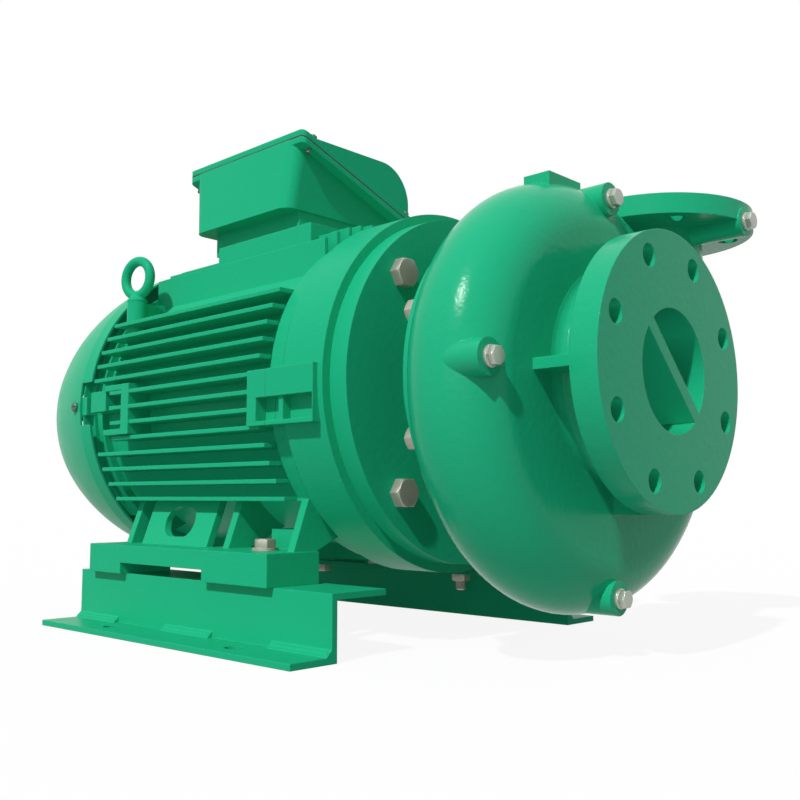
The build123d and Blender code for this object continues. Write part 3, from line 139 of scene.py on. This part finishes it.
class Level:
    """A number that varies over a surface, ready for Python's operators."""

    def __init__(self, finish, socket):
        self.finish = finish
        self.socket = socket

    def math(self, operation, *others):
        inputs = {index: value for index, value in enumerate((self, *others))}
        return Level(
            self.finish,
            self.finish.node("ShaderNodeMath", {"operation": operation}, inputs).outputs[0],
        )

    def __add__(self, other):
        return self.math("ADD", other)

    def __sub__(self, other):
        return self.math("SUBTRACT", other)

    def __mul__(self, other):
        return self.math("MULTIPLY", other)

    def __truediv__(self, other):
        return self.math("DIVIDE", other)

    def __pow__(self, other):
        return self.math("POWER", other)

    def __rsub__(self, other):
        return self * -1 + other

    def __rtruediv__(self, other):
        return self**-1 * other

    __radd__ = __add__
    __rmul__ = __mul__

    def held(self):
        """The same number, kept from 0 to 1."""
        return self.math("MAXIMUM", 0).math("MINIMUM", 1)


class Finish:
    """One material of the pump, named after its slot in the record."""

    def __init__(self, name):
        self.material = bpy.data.materials.new(name)
        self.material.use_nodes = True
        self.tree = self.material.node_tree
        self.shader = self.tree.nodes["Principled BSDF"]
        self.place = self.node("ShaderNodeTexCoord").outputs["Object"]

    def node(self, kind, settings=None, inputs=None):
        made = self.tree.nodes.new(kind)
        for key, value in (settings or {}).items():
            if key == "stops":
                ramp = made.color_ramp
                while len(ramp.elements) < len(value):
                    ramp.elements.new(0.5)
                for element, (position, colour) in zip(ramp.elements, value):
                    element.position = position
                    element.color = colour
            else:
                setattr(made, key, value)
        for key, value in (inputs or {}).items():
            self.feed(made.inputs[key], value)
        return made

    def feed(self, socket, value):
        if isinstance(value, Level):
            value = value.socket
        if isinstance(value, bpy.types.NodeSocket):
            self.tree.links.new(value, socket)
        else:
            socket.default_value = value

    def noise(self, size, detail=3.0, stretch=(1, 1, 1)):
        """Cloudy noise whose lumps are about this many metres across."""
        place = self.node("ShaderNodeMapping", None, {"Vector": self.place, "Scale": stretch})
        inputs = {"Vector": place.outputs[0], "Scale": 1 / size, "Detail": detail}
        return Level(self, self.node("ShaderNodeTexNoise", None, inputs).outputs["Fac"])

    def mix(self, share, first, second):
        """Colour that goes from the first to the second as the share goes from 0 to 1."""
        made = self.node("ShaderNodeMix", {"data_type": "RGBA"}, {"Factor": share})
        self.feed(made.inputs[6], first)
        self.feed(made.inputs[7], second)
        return made.outputs[2]

    def rounded(self, radius):
        """Normal that turns smoothly round a sharp edge."""
        settings = {"samples": bevel_samples}
        return self.node("ShaderNodeBevel", settings, {"Radius": radius}).outputs[0]

    def edges(self, radius):
        """Level that rises towards 1 on sharp edges, from a rounded normal."""
        rounded = self.rounded(radius)
        flat = self.node("ShaderNodeNewGeometry").outputs["Normal"]
        inputs = {0: rounded, 1: flat}
        dot = self.node("ShaderNodeVectorMath", {"operation": "DOT_PRODUCT"}, inputs)
        return ((1 - Level(self, dot.outputs["Value"])) * edge_gain).held()

    def relief(self, height, depth, radius):
        """Bump of this depth in metres over edges rounded by the radius."""
        inputs = {
            "Strength": 1.0,
            "Distance": depth,
            "Height": height,
            "Normal": self.rounded(radius),
        }
        bump = self.node("ShaderNodeBump", None, inputs)
        self.feed(self.shader.inputs["Normal"], bump.outputs[0])

    def surface(self, colour, roughness, **constants):
        self.feed(self.shader.inputs["Base Color"], colour)
        self.feed(self.shader.inputs["Roughness"], roughness)
        for name, value in constants.items():
            self.shader.inputs[name.replace("_", " ")].default_value = value


def tone(colour, share=1.0):
    """An RGBA colour, made lighter or darker by a share."""
    return (*[min(1.0, part * share) for part in colour], 1.0)


print("Shader helpers are ready")

# %% [markdown]
# Modelling helpers follow. By hand a turned part starts as one vertex, is extruded into a
# half section and spun round its axis. The same operators do it here. Everything is
# deselected first, because an operator acts on all that is selected.

# %% Define the modelling helpers
merge_gap = 0.001


def start_clean():
    bpy.ops.object.select_all(action="DESELECT")


def only(piece):
    """Select one piece and make it active."""
    start_clean()
    piece.select_set(True)
    bpy.context.view_layer.objects.active = piece


def turned(name, section, steps=48):
    """Spin a half section of (height, radius) points in mm round the Z axis."""
    start_clean()
    bpy.ops.mesh.primitive_plane_add(size=mm)
    piece = bpy.context.object
    piece.name = name
    bpy.ops.object.mode_set(mode="EDIT")
    bpy.ops.mesh.merge(type="CENTER")
    bpy.ops.transform.translate(value=(section[0][1] * mm, 0, section[0][0] * mm))
    for (z0, r0), (z1, r1) in zip(section, section[1:]):
        step = ((r1 - r0) * mm, 0, (z1 - z0) * mm)
        bpy.ops.mesh.extrude_vertices_move(TRANSFORM_OT_translate={"value": step})
    bpy.ops.mesh.select_all(action="SELECT")
    bpy.ops.mesh.spin(steps=steps, angle=2 * math.pi, center=(0, 0, 0), axis=(0, 0, 1))
    bpy.ops.mesh.select_all(action="SELECT")
    bpy.ops.mesh.remove_doubles(threshold=merge_gap * mm)
    bpy.ops.mesh.normals_make_consistent(inside=False)
    bpy.ops.object.mode_set(mode="OBJECT")
    return piece


def apply_modifier(piece, kind, **settings):
    """Add a modifier, set it and apply it."""
    only(piece)
    modifier = piece.modifiers.new("shape", kind)
    for key, value in settings.items():
        setattr(modifier, key, value)
    bpy.ops.object.modifier_apply(modifier=modifier.name)


def carve(piece, tool, operation):
    """Cut a piece with another, which is then thrown away."""
    apply_modifier(piece, "BOOLEAN", operation=operation, object=tool, solver="EXACT")
    bpy.data.objects.remove(tool)


def joined(name, pieces):
    """Join several pieces into one named object."""
    start_clean()
    for piece in pieces:
        piece.select_set(True)
    bpy.context.view_layer.objects.active = pieces[0]
    bpy.ops.object.join()
    bpy.context.object.name = name
    return bpy.context.object


def copies(name, master, places):
    """Copy a master to (location in mm, turn) places, each with its own mesh, as one piece."""
    made = []
    for location, turn in places:
        only(master)
        bpy.ops.object.duplicate(linked=False)
        copy = bpy.context.object
        copy.location = Vector(location) * mm
        copy.rotation_euler = turn
        bpy.ops.object.transform_apply(location=True, rotation=True, scale=True)
        made.append(copy)
    bpy.data.objects.remove(master)
    return joined(name, made)


def finished(piece, body, slot, angle=35):
    """Smooth a piece by angle, let it ride and name its slot."""
    only(piece)
    bpy.ops.object.transform_apply(location=True, rotation=True, scale=True)
    bpy.ops.object.shade_smooth_by_angle(angle=math.radians(angle))
    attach(piece, body)
    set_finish(piece, slot)
    print(piece.name, len(piece.data.polygons), "faces")
    return piece


to_front = (0, math.pi / 2, 0)
to_back = (0, -math.pi / 2, 0)
upright = (0, 0, 0)
upside_down = (math.pi, 0, 0)

# %% [markdown]
# A bolt head is cut from hexagonal bar and then turned, which leaves a curved chamfer
# on each corner. A hexagonal prism crossed with a turned blank gives that same curve.
# The thread is a row of closed ridges, which at this size looks like the real helix.

# %% Make hexagons and threads
corner_room = 0.3
edge_break = 0.25
blank_steps = 64
thread_steps = 32
thread_depth = 0.6


def hexagon(name, across_flats, height, both_ends=False):
    """Hexagonal head or nut standing on Z = 0, with turned chamfers."""
    start_clean()
    corner = across_flats / math.sqrt(3)
    bpy.ops.mesh.primitive_cylinder_add(
        vertices=6, radius=corner * mm, depth=height * mm, location=(0, 0, height / 2 * mm)
    )
    prism = bpy.context.object
    bpy.ops.object.transform_apply(location=True)
    chamfer = corner - across_flats / 2 + corner_room
    low = corner - chamfer if both_ends else corner + 1
    blank = turned(
        name + "_blank",
        [
            (0, 0),
            (0, low),
            (0.4 * chamfer, corner + 0.02),
            (height - 0.6 * chamfer, corner + 0.02),
            (height, corner - chamfer),
            (height, 0),
        ],
        blank_steps,
    )
    carve(prism, blank, "INTERSECT")
    apply_modifier(
        prism, "BEVEL", width=edge_break * mm, segments=2, angle_limit=math.radians(30)
    )
    prism.name = name
    return prism


def thread(name, diameter, z0, z1, pitch):
    """Threaded rod between two heights, with a pointed end at the lower one."""
    radius = diameter / 2
    root = radius - thread_depth * pitch
    section = [(z0, 0), (z0, root - 0.4 * pitch), (z0 + 0.5 * pitch, root)]
    height = z0 + 0.5 * pitch
    while height + pitch < z1:
        section += [(height + 0.4 * pitch, radius), (height + 0.6 * pitch, radius)]
        section.append((height + pitch, root))
        height += pitch
    section += [(z1, root), (z1, 0)]
    return turned(name, section, thread_steps)


def bored(nut, height, bore_r):
    """Drill a nut that stands on Z = 0 right through."""
    drill = [(-1, 0), (-1, bore_r), (height + 1, bore_r), (height + 1, 0)]
    carve(nut, turned("drill", drill), "DIFFERENCE")
    return nut


print("Hexagons and threads are ready")

# %% [markdown]
# Four M16 bolts hold the bracket's round disc to the motor. They are the largest bare
# steel in the picture. Each head stands on the disc and its shank goes into the shield.

# %% Bolt the bracket to the motor
shaft_z = 233.8
disc_front_x = 207.0
bracket_pitch_r = 136.5
bracket_bolt_d = 16
bracket_bolt_flats = 24
bracket_bolt_head = 10
bracket_bolt_shank = 37
coarse_16 = 2.0


def on_circle(x, radius, count, first, turn):
    """Places on a pitch circle round the shaft line."""
    places = []
    for index in range(count):
        angle = math.radians(first + 360 * index / count)
        spot = (x, radius * math.cos(angle), shaft_z + radius * math.sin(angle))
        places.append((spot, turn))
    return places


bolt = joined(
    "bracket_bolt",
    [
        hexagon("head", bracket_bolt_flats, bracket_bolt_head),
        turned("washer_face", [(0, 0), (0, 11.6), (0.6, 11.9), (1.2, 11.6), (1.2, 0)]),
        thread("shank", bracket_bolt_d, -bracket_bolt_shank, 0, coarse_16),
    ],
)
bolt_places = on_circle(disc_front_x, bracket_pitch_r, 4, 45, to_front)
bolts = copies("bracket_bolts_turned", bolt, bolt_places)
finished(bolts, "pump_and_motor", "bolt_steel")
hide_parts("bracket_bolts")

# %% [markdown]
# Eight studs clamp the bracket and the cover to the casing. The studs are screwed into
# the casing from behind and end a few millimetres proud of their nuts.

# %% Fit the casing studs and nuts
stud_front_x = 281.5
nut_seat_x = 258.0
stud_pitch_r = 137.25
stud_length = 36.5
stud_count = 8
first_stud = 22.5
bolt_12 = 12
coarse_12 = 1.75
nut_flats = 18
nut_height = 10
nut_bore_r = 6.05

stud = thread("stud", bolt_12, -stud_length, 0, coarse_12)
stud_places = on_circle(stud_front_x, stud_pitch_r, stud_count, first_stud, to_front)
studs = copies("casing_studs_threaded", stud, stud_places)
finished(studs, "pump_and_motor", "stud_steel")
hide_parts("casing_studs")

nut = hexagon("casing_nut", nut_flats, nut_height, both_ends=True)
nut = bored(nut, nut_height, nut_bore_r)
nut_places = on_circle(nut_seat_x, stud_pitch_r, stud_count, first_stud, to_back)
nuts = copies("casing_nuts_turned", nut, nut_places)
finished(nuts, "pump_and_motor", "nut_steel")
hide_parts("casing_nuts")

# %% [markdown]
# Four plugs close the priming, gauge and drain tappings. A plug has a small hexagon on a
# turned collar, and its thread is out of sight in the boss.

# %% Screw in the plugs
boss_end_x = 362.0
plug_places = [
    ((boss_end_x, 0, shaft_z + 153.0), to_front),
    ((boss_end_x, -168.0, shaft_z), to_front),
    ((boss_end_x, 0, shaft_z - 183.0), to_front),
    ((412.25, 153.0, shaft_z + 155.0), to_front),
]
plug_flats = 14
plug_head = 8.5
plug_d = 13
plug_depth = 13
plug_pitch = 1.5
plug_collar = [(0, 0), (0, 8.2), (0.4, 8.5), (2.1, 8.5), (2.5, 8.1), (2.5, 0)]

plug = joined(
    "plug",
    [
        hexagon("plug_head", plug_flats, plug_head),
        turned("plug_collar", plug_collar),
        thread("plug_thread", plug_d, -plug_depth, 0, plug_pitch),
    ],
)
plugs = copies("casing_plugs_turned", plug, plug_places)
finished(plugs, "pump_and_motor", "plug_steel")
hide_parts("casing_plugs")

# %% [markdown]
# The motor's feet stand on the rails. The front pair is bolted from above with nuts
# under the rail, and the rear pair goes up from below, where the fins leave no room.

# %% Bolt the feet to the rails
foot_front_x = 76.0
foot_rear_x = -155.0
foot_y = 139.7
foot_top_z = 87.5
rail_under_z = 50.5
foot_washer = 2.5
foot_head = 8
front_shank = 57
rear_shank = 35.9

front_bolt = joined(
    "foot_bolt_front",
    [
        hexagon("foot_head", nut_flats, foot_head),
        thread("foot_thread", bolt_12, -front_shank, 0, coarse_12),
    ],
)
rear_bolt = joined(
    "foot_bolt_rear",
    [
        hexagon("rear_head", nut_flats, foot_head),
        thread("rear_thread", bolt_12, -rear_shank, 0, coarse_12),
    ],
)
front_bolts = copies(
    "foot_bolts_front",
    front_bolt,
    [((foot_front_x, side * foot_y, foot_top_z), upright) for side in (-1, 1)],
)
rear_bolts = copies(
    "foot_bolts_rear",
    rear_bolt,
    [
        ((foot_rear_x, side * foot_y, rail_under_z - foot_washer), upside_down)
        for side in (-1, 1)
    ],
)
foot_bolts = joined("foot_bolts_turned", [front_bolts, rear_bolts])
finished(foot_bolts, "pump_and_motor", "bolt_steel")
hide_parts("foot_bolts")

foot_nut = hexagon("foot_nut", nut_flats, nut_height, both_ends=True)
foot_nut = bored(foot_nut, nut_height, nut_bore_r)
foot_nuts = copies(
    "foot_nuts_turned",
    foot_nut,
    [((foot_front_x, side * foot_y, rail_under_z), upside_down) for side in (-1, 1)],
)
finished(foot_nuts, "pump_and_motor", "nut_steel")
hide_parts("foot_nuts")

# %% [markdown]
# The motor is lifted by a forged eyebolt. A forging has no sharp inner corners, so the
# ring and its collar are joined by a voxel remesh and smoothed, as if hammered in a die.

# %% Forge the lifting eye
eye_place = Vector((-165.0, -133.0, shaft_z + 144.0))
eye_wire = 11.0
eye_outer = 50.0
eye_turn = math.radians(10)
clay_grain = 0.7
eye_collar = [
    (-42, 0),
    (-42, 5.9),
    (-28, 5.9),
    (-28, 11),
    (-24.5, 11),
    (-22.5, 8.5),
    (-19, 6),
    (-17, 0),
]

start_clean()
bpy.ops.mesh.primitive_torus_add(
    major_segments=64,
    minor_segments=24,
    major_radius=(eye_outer - eye_wire) / 2 * mm,
    minor_radius=eye_wire / 2 * mm,
    rotation=(math.pi / 2, 0, 0),
)
ring = bpy.context.object
bpy.ops.object.transform_apply(rotation=True)
collar = turned("eye_collar", eye_collar)
eye = joined("lifting_eye_forged", [ring, collar])
apply_modifier(eye, "REMESH", mode="VOXEL", voxel_size=clay_grain * mm)
apply_modifier(eye, "SMOOTH", factor=0.5, iterations=6)
eye.rotation_euler = (0, 0, eye_turn)
eye.location = eye_place * mm
finished(eye, "pump_and_motor", "eyebolt_paint", 60)
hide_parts("lifting_eyebolt")

# %% [markdown]
# Small machine screws hold the fan cowl and the terminal box lid. Their slots are cut
# with a thin block, the way a slitting saw cuts them.

# %% Cut the slotted screws
screw_steps = 40


def slotted(name, head_d, head, shank_d, shank, dome):
    """Screw whose head stands on Z = 0, with a driver slot."""
    section = [
        (-shank, 0),
        (-shank, shank_d / 2),
        (0, shank_d / 2),
        (0, head_d / 2),
        (head - dome, head_d / 2),
        (head - 0.3 * dome, 0.42 * head_d),
        (head, 0.3 * head_d),
        (head, 0),
    ]
    screw = turned(name, section, screw_steps)
    start_clean()
    bpy.ops.mesh.primitive_cube_add(size=1, location=(0, 0, head * mm))
    saw = bpy.context.object
    saw.scale = (2 * head_d * mm, 0.16 * head_d * mm, 0.8 * head * mm)
    bpy.ops.object.transform_apply(location=True, scale=True)
    carve(screw, saw, "DIFFERENCE")
    return screw


cowl_screw_x = -222.0
cowl_screw_r = 173.2
cowl_places = []
for quarter in range(4):
    angle = math.radians(90 * quarter)
    y = cowl_screw_r * math.cos(angle)
    z = shaft_z + cowl_screw_r * math.sin(angle)
    cowl_places.append(((cowl_screw_x, y, z), (angle - math.pi / 2, 0, 0)))
cowl_screw = slotted("cowl_screw", head_d=10.8, head=3.4, shank_d=6, shank=14, dome=1.6)
cowl_screws = copies("cowl_screws_slotted", cowl_screw, cowl_places)
finished(cowl_screws, "pump_and_motor", "screw_steel")
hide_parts("cowl_screws")

# The lid's joint slopes down towards the far side.
joint_near_y = -81.0
joint_near_z = 501.0
joint_slope = -62.0 / 167.0
lid_lip = 7.5
joint_angle = math.atan(-joint_slope)
joint_seat = lid_lip * math.cos(joint_angle)
lid_places = []
for x in (-139.5, 51.0):
    for y in (-67.0, 72.0):
        z = joint_near_z + joint_slope * (y - joint_near_y)
        spot = (x, y + joint_seat * math.sin(joint_angle), z + joint_seat * math.cos(joint_angle))
        lid_places.append((spot, (-joint_angle, 0, 0)))
lid_screw = slotted("lid_screw", head_d=8, head=4, shank_d=5, shank=18, dome=0.8)
lid_screws = copies("lid_screws_slotted", lid_screw, lid_places)
finished(lid_screws, "pump_and_motor", "screw_steel")
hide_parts("lid_screws")

# %% [markdown]
# The pump's castings have rounded inside corners where a wall meets a flange. A ring with
# a hollow quarter-round section sits in each of these corners on the suction neck.

# %% Round the neck's corners
ring_sink = 1.5
ring_steps = 96
arc_steps = 6


def hollow_ring(name, radius, size, direction, slope):
    """Ring for an inside corner at height 0 and this radius, on a neck that slopes."""
    inside = radius - ring_sink
    section = [(0, inside), (direction * (size + ring_sink), inside + slope * size)]
    for index in range(arc_steps + 1):
        angle = math.radians(90 * index / arc_steps)
        along = size * (1 - math.sin(angle))
        out = size * (1 - math.cos(angle))
        section.append((direction * along, radius + out + slope * along))
    section += [(-direction * ring_sink, radius + size), (-direction * ring_sink, inside)]
    section.append(section[0])
    return turned(name, section, ring_steps)


flange_back_x = 393.0
casing_front_x = 361.0
neck_front_r = 72.0
neck_back_r = 84.0
neck_slope = (neck_back_r - neck_front_r) / (flange_back_x - casing_front_x)
fillet_size = 7.0

front_ring = hollow_ring("front_ring", neck_front_r, fillet_size, -1, neck_slope)
front_ring = copies("front_fillet", front_ring, [((flange_back_x, 0, shaft_z), to_front)])
back_ring = hollow_ring("back_ring", neck_back_r, fillet_size, 1, -neck_slope)
back_ring = copies("back_fillet", back_ring, [((casing_front_x, 0, shaft_z), to_front)])
fillets = joined("neck_fillets", [front_ring, back_ring])
finished(fillets, "pump_and_motor", "casing_paint", 60)

# %% [markdown]
# Behind the fins the rear end shield widens into two curved seats, one on each side, which
# close the notch where the cowl's arms come through. Above and below them the gap stays
# open, because the fan's air leaves there. A full ring is turned and a block keeps its sides.

# %% Widen the rear shield to the cowl
seat_x = -211.0
seat_half_height = 121.0
seat_steps = 128
seat_section = [
    (0, 146.0),
    (0, 170.2),
    (4, 170.9),
    (4, 162.0),
    (11, 162.0),
    (11, 157.0),
    (5, 150.0),
    (5, 146.0),
    (0, 146.0),
]

seat_ring = turned("seat_ring", seat_section, seat_steps)
seats = copies("cowl_seats", seat_ring, [((seat_x, 0, shaft_z), to_front)])
start_clean()
bpy.ops.mesh.primitive_cube_add(size=1, location=(seat_x * mm, 0, shaft_z * mm))
keep = bpy.context.object
keep.scale = Vector((40, 500, 2 * seat_half_height)) * mm
bpy.ops.object.transform_apply(location=True, scale=True)
carve(seats, keep, "INTERSECT")
finished(seats, "pump_and_motor", "shield_paint")

# %% [markdown]
# Each rail is folded from plate and has three short runs of weld along its foot. A weld
# run is a row of overlapping ripples, so the bead is turned with a ripple every 2 mm
# and lies more than half sunk in the corner.

# %% Lay the weld beads
rail_web_y = 170.0
rail_wall = 5.5
bead_length = 77.0
bead_starts = (-200.5, -38.5, 123.5)
bead_y = rail_web_y + 1.2
bead_z = rail_wall + 0.9
ripple = 2.0


def weld_bead():
    """Turned bead with a ripple at every step of the torch."""
    section = [(0, 0), (0.6, 2.0)]
    height = 1.4
    while height < bead_length - ripple:
        section += [(height, 3.6), (height + 1.3, 3.9)]
        height += ripple
    section += [(bead_length - 0.6, 2.0), (bead_length, 0)]
    return turned("weld_bead", section, 20)


for side, name in ((-1, "weld_beads_near"), (1, "weld_beads_far")):
    places = [((x, side * bead_y, bead_z), to_front) for x in bead_starts]
    finished(copies(name, weld_bead(), places), "pump_and_motor", "rail_paint", 60)

# %% [markdown]
# The paint is one coat of green enamel over everything that is cast or folded. What lies
# under it differs: sand castings are lumpy, pressed sheet is smooth, folded plate has
# faint mill streaks. So one recipe takes the size and depth of the lumps below the coat,
# how rough the coat is and how much it shines. The pump casing shines most.

# %% Mix the green paint
paint_green = (0.010, 0.385, 0.190)
edge_wear_and_highlight_green = (0.030, 0.470, 0.270)
# Edges take a lighter green: partly thinner, worn paint, partly a painted highlight.
dust_green = (0.012, 0.345, 0.172)
wear_and_highlight_width = 2.2 * mm
casting_round = 1.2 * mm


def paint(slot, lump, depth, gloss, shine=0.04):
    """Enamel over metal with lumps of a size and depth in metres."""
    finish = Finish(slot)
    clouds = finish.noise(0.09, 4.0)
    peel = finish.noise(0.0016, 2.0)
    lumps = finish.noise(lump, 5.0)
    # Mask for the lighter edges: worn paint, and a painted highlight where an edge catches the
    # light.
    wear_and_highlight = (finish.edges(wear_and_highlight_width) * (finish.noise(0.012, 4.0) * 1.4)).held()
    body = finish.mix(clouds * 0.5, tone(paint_green, 1.03), tone(dust_green, 1.12))
    colour = finish.mix(wear_and_highlight * 0.55, body, tone(edge_wear_and_highlight_green))
    rough = gloss + (finish.noise(0.03, 3.0) - 0.5) * 0.14 + lumps * 0.05
    finish.surface(colour, rough, Specular_IOR_Level=shine)
    finish.relief(lumps + peel * 0.12, depth, casting_round)
    return finish


finishes = {
    "casing_paint": paint("casing_paint", 0.0060, 0.00030, 0.18, 0.10),
    "bracket_paint": paint("bracket_paint", 0.0060, 0.00030, 0.32),
    "shield_paint": paint("shield_paint", 0.0050, 0.00028, 0.32),
    "frame_paint": paint("frame_paint", 0.0050, 0.00028, 0.34),
    "cowl_paint": paint("cowl_paint", 0.0300, 0.00016, 0.30),
    "eyebolt_paint": paint("eyebolt_paint", 0.0040, 0.00020, 0.32),
    "box_paint": paint("box_paint", 0.0070, 0.00022, 0.32),
    "lid_paint": paint("lid_paint", 0.0070, 0.00022, 0.32),
    "rail_paint": paint("rail_paint", 0.0120, 0.00016, 0.32),
}
print("Paints:", len(finishes))

# %% [markdown]
# Bare steel shows how it was made. Turned and ground parts have fine rings or streaks,
# and bolts are dull from oil and handling, with brighter edges where a spanner has been.
# Plugs are plated and paler. The small screws are given a dark green-grey colour.

# %% Make the bare metals
def metal(slot, colour, rough, streak=(1, 1, 1), grain=0.0008, wear=1.6, bare=0.9):
    """Bare metal with machining streaks, dull patches and bright edges."""
    finish = Finish(slot)
    streaks = finish.noise(grain, 3.0, streak)
    patches = finish.noise(0.015, 4.0)
    edge = finish.edges(0.0008)
    dull = finish.mix(patches, tone(colour, 0.78), tone(colour, 1.12))
    bright = finish.mix(edge * 0.6, dull, tone(colour, wear))
    finish.surface(bright, rough + (patches - 0.5) * 0.2 + streaks * 0.08)
    finish.shader.inputs["Metallic"].default_value = bare
    finish.relief(streaks, 0.00005, 0.0004)
    return finish


even = (1, 1, 1)
round_shaft = (1, 0.05, 0.05)
across_stack = (12, 0.05, 0.05)
dull_steel = (0.400, 0.390, 0.330)
plug_grey = (0.430, 0.460, 0.400)
screw_dark = (0.070, 0.150, 0.100)
bright_steel = (0.46, 0.46, 0.45)
ball_bright = (0.6, 0.6, 0.6)
sheet_steel = (0.24, 0.24, 0.26)
aluminium = (0.55, 0.56, 0.57)
bronze = (0.46, 0.27, 0.10)
brass = (0.62, 0.42, 0.14)

for slot in ("bolt_steel", "nut_steel", "stud_steel", "washer_steel"):
    finishes[slot] = metal(slot, dull_steel, 0.42, bare=0.5)
finishes["screw_steel"] = metal("screw_steel", screw_dark, 0.45, bare=0.4)
finishes["plug_steel"] = metal("plug_steel", plug_grey, 0.32, bare=0.6)
for slot in ("bearing_steel", "shaft_steel", "spring_steel", "key_steel"):
    finishes[slot] = metal(slot, bright_steel, 0.28, round_shaft, 0.0006, 1.2)
finishes["ball_steel"] = metal("ball_steel", ball_bright, 0.12, even, 0.002, 1.1)
for slot in ("bronze", "impeller_bronze", "nut_bronze", "sleeve_bronze"):
    finishes[slot] = metal(slot, bronze, 0.36, round_shaft, 0.0008, 1.3)
finishes["terminal_brass"] = metal("terminal_brass", brass, 0.3, round_shaft)
finishes["cage_aluminium"] = metal("cage_aluminium", aluminium, 0.45, even, 0.002, 1.2)
finishes["lamination_steel"] = metal("lamination_steel", sheet_steel, 0.4, across_stack, 0.006)
print("Metals and paints:", len(finishes))

# %% [markdown]
# What is left is cast iron without paint, rubber, carbon, ceramic, moulded plastic and the
# varnished windings. Each is dark and plain, so its surface lives from its roughness.

# %% Make the plain finishes
def plain(slot, colour, rough, lump, depth, stretch=(1, 1, 1), coat=0.0):
    """Unpainted surface with a grain of a size and depth in metres."""
    finish = Finish(slot)
    lumps = finish.noise(lump, 5.0, stretch)
    patches = finish.noise(0.02, 3.0)
    edge = finish.edges(0.001)
    body = finish.mix(patches, tone(colour, 0.8), tone(colour, 1.25))
    finish.surface(finish.mix(edge * 0.4, body, tone(colour, 1.9)), rough + (lumps - 0.5) * 0.2)
    finish.shader.inputs["Coat Weight"].default_value = coat
    finish.relief(lumps, depth, 0.0008)
    return finish


finishes["cover_iron"] = plain("cover_iron", (0.035, 0.036, 0.036), 0.6, 0.004, 0.0003)
finishes["cap_iron"] = plain("cap_iron", (0.045, 0.045, 0.045), 0.6, 0.004, 0.0003)
finishes["seal_rubber"] = plain("seal_rubber", (0.020, 0.020, 0.021), 0.7, 0.001, 0.00005)
finishes["slinger_rubber"] = plain("slinger_rubber", (0.020, 0.020, 0.021), 0.65, 0.001, 0.00005)
finishes["seat_ceramic"] = plain("seat_ceramic", (0.66, 0.64, 0.58), 0.2, 0.002, 0.00002)
finishes["seal_carbon"] = plain("seal_carbon", (0.030, 0.030, 0.032), 0.35, 0.0008, 0.00003)
finishes["winding_varnish"] = plain(
    "winding_varnish", (0.36, 0.13, 0.035), 0.4, 0.002, 0.0012, (0.3, 1, 1), 0.6
)
finishes["fan_plastic"] = plain("fan_plastic", (0.030, 0.031, 0.033), 0.5, 0.001, 0.00006)
finishes["terminal_plastic"] = plain(
    "terminal_plastic", (0.060, 0.030, 0.018), 0.45, 0.001, 0.00005
)
print("Finishes:", len(finishes))

# %% [markdown]
# The record says which slot each CAD node takes its finish from.

# %% Paint every piece
slots = {row["node"]: row["material_slot"] for row in frame["record"]["subparts"]}
for name, node in frame["nodes"].items():
    node.data.materials.clear()
    node.data.materials.append(finishes[slots[name]].material)
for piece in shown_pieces():
    if "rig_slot" in piece:
        piece.data.materials.clear()
        piece.data.materials.append(finishes[piece["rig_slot"]].material)

# %% [markdown]
# The floor is a wide white sheet. What the camera sees of it, and what gloss reflects of
# it, is mostly its own white, with enough shade left for the pump's shadow. The light that
# it throws back on the pump is weaker, as from a grey sheet, or the shade under the pump
# would be too pale. The surroundings are white to the camera and dimmer as a light.

# %% Lay the floor and light the surroundings
floor_white = (0.92, 0.92, 0.92)
floor_bounce = (0.16, 0.16, 0.16)
seen_white = 0.90
floor_size = 40
floor_gap = 0.2 * mm

start_clean()
bpy.ops.mesh.primitive_plane_add(size=floor_size, location=(0, 0, -floor_gap))
floor = bpy.context.object
floor.name = "studio_floor"
bpy.ops.object.transform_apply(location=True)


def seen_directly(finish):
    """Level that is 1 for the camera's own rays and for rays off gloss and through glass."""
    path = finish.node("ShaderNodeLightPath").outputs
    seen = Level(finish, path["Is Camera Ray"]) + Level(finish, path["Is Glossy Ray"])
    return (seen + Level(finish, path["Is Transmission Ray"])).held()


floor_rough = 0.85
sheet = Finish("studio_floor")
paper = sheet.mix(sheet.noise(0.4, 3.0), tone(floor_white), tone(floor_white, 1.02))
paper = sheet.mix(seen_directly(sheet), tone(floor_bounce), paper)
sheet.surface(paper, sheet.noise(0.2, 2.0) * 0.1 + floor_rough)
glow = sheet.node("ShaderNodeEmission", None, {"Color": (1, 1, 1, 1), "Strength": 1.0})
blend = sheet.node("ShaderNodeMixShader", None, {0: seen_directly(sheet) * seen_white})
sheet.feed(blend.inputs[1], sheet.shader.outputs[0])
sheet.feed(blend.inputs[2], glow.outputs[0])
sheet.feed(sheet.tree.nodes["Material Output"].inputs["Surface"], blend.outputs[0])
floor.data.materials.append(sheet.material)


class Surroundings(Finish):
    """The world's nodes, made with the same helpers."""

    def __init__(self, world):
        world.use_nodes = True
        self.tree = world.node_tree
        self.tree.nodes.clear()


world = bpy.data.worlds.new("studio")
bpy.context.scene.world = world
sky = Surroundings(world)
pure_white = (1, 1, 1, 1)
white = sky.node("ShaderNodeBackground", None, {"Color": pure_white, "Strength": 1.0})
ambient = sky.node(
    "ShaderNodeBackground", None, {"Color": pure_white, "Strength": ambient_level}
)
shown = sky.node("ShaderNodeMixShader", None, {0: seen_directly(sky)})
sky.feed(shown.inputs[1], ambient.outputs[0])
sky.feed(shown.inputs[2], white.outputs[0])
sky.feed(sky.node("ShaderNodeOutputWorld").inputs["Surface"], shown.outputs[0])
print("Floor and surroundings are in place")
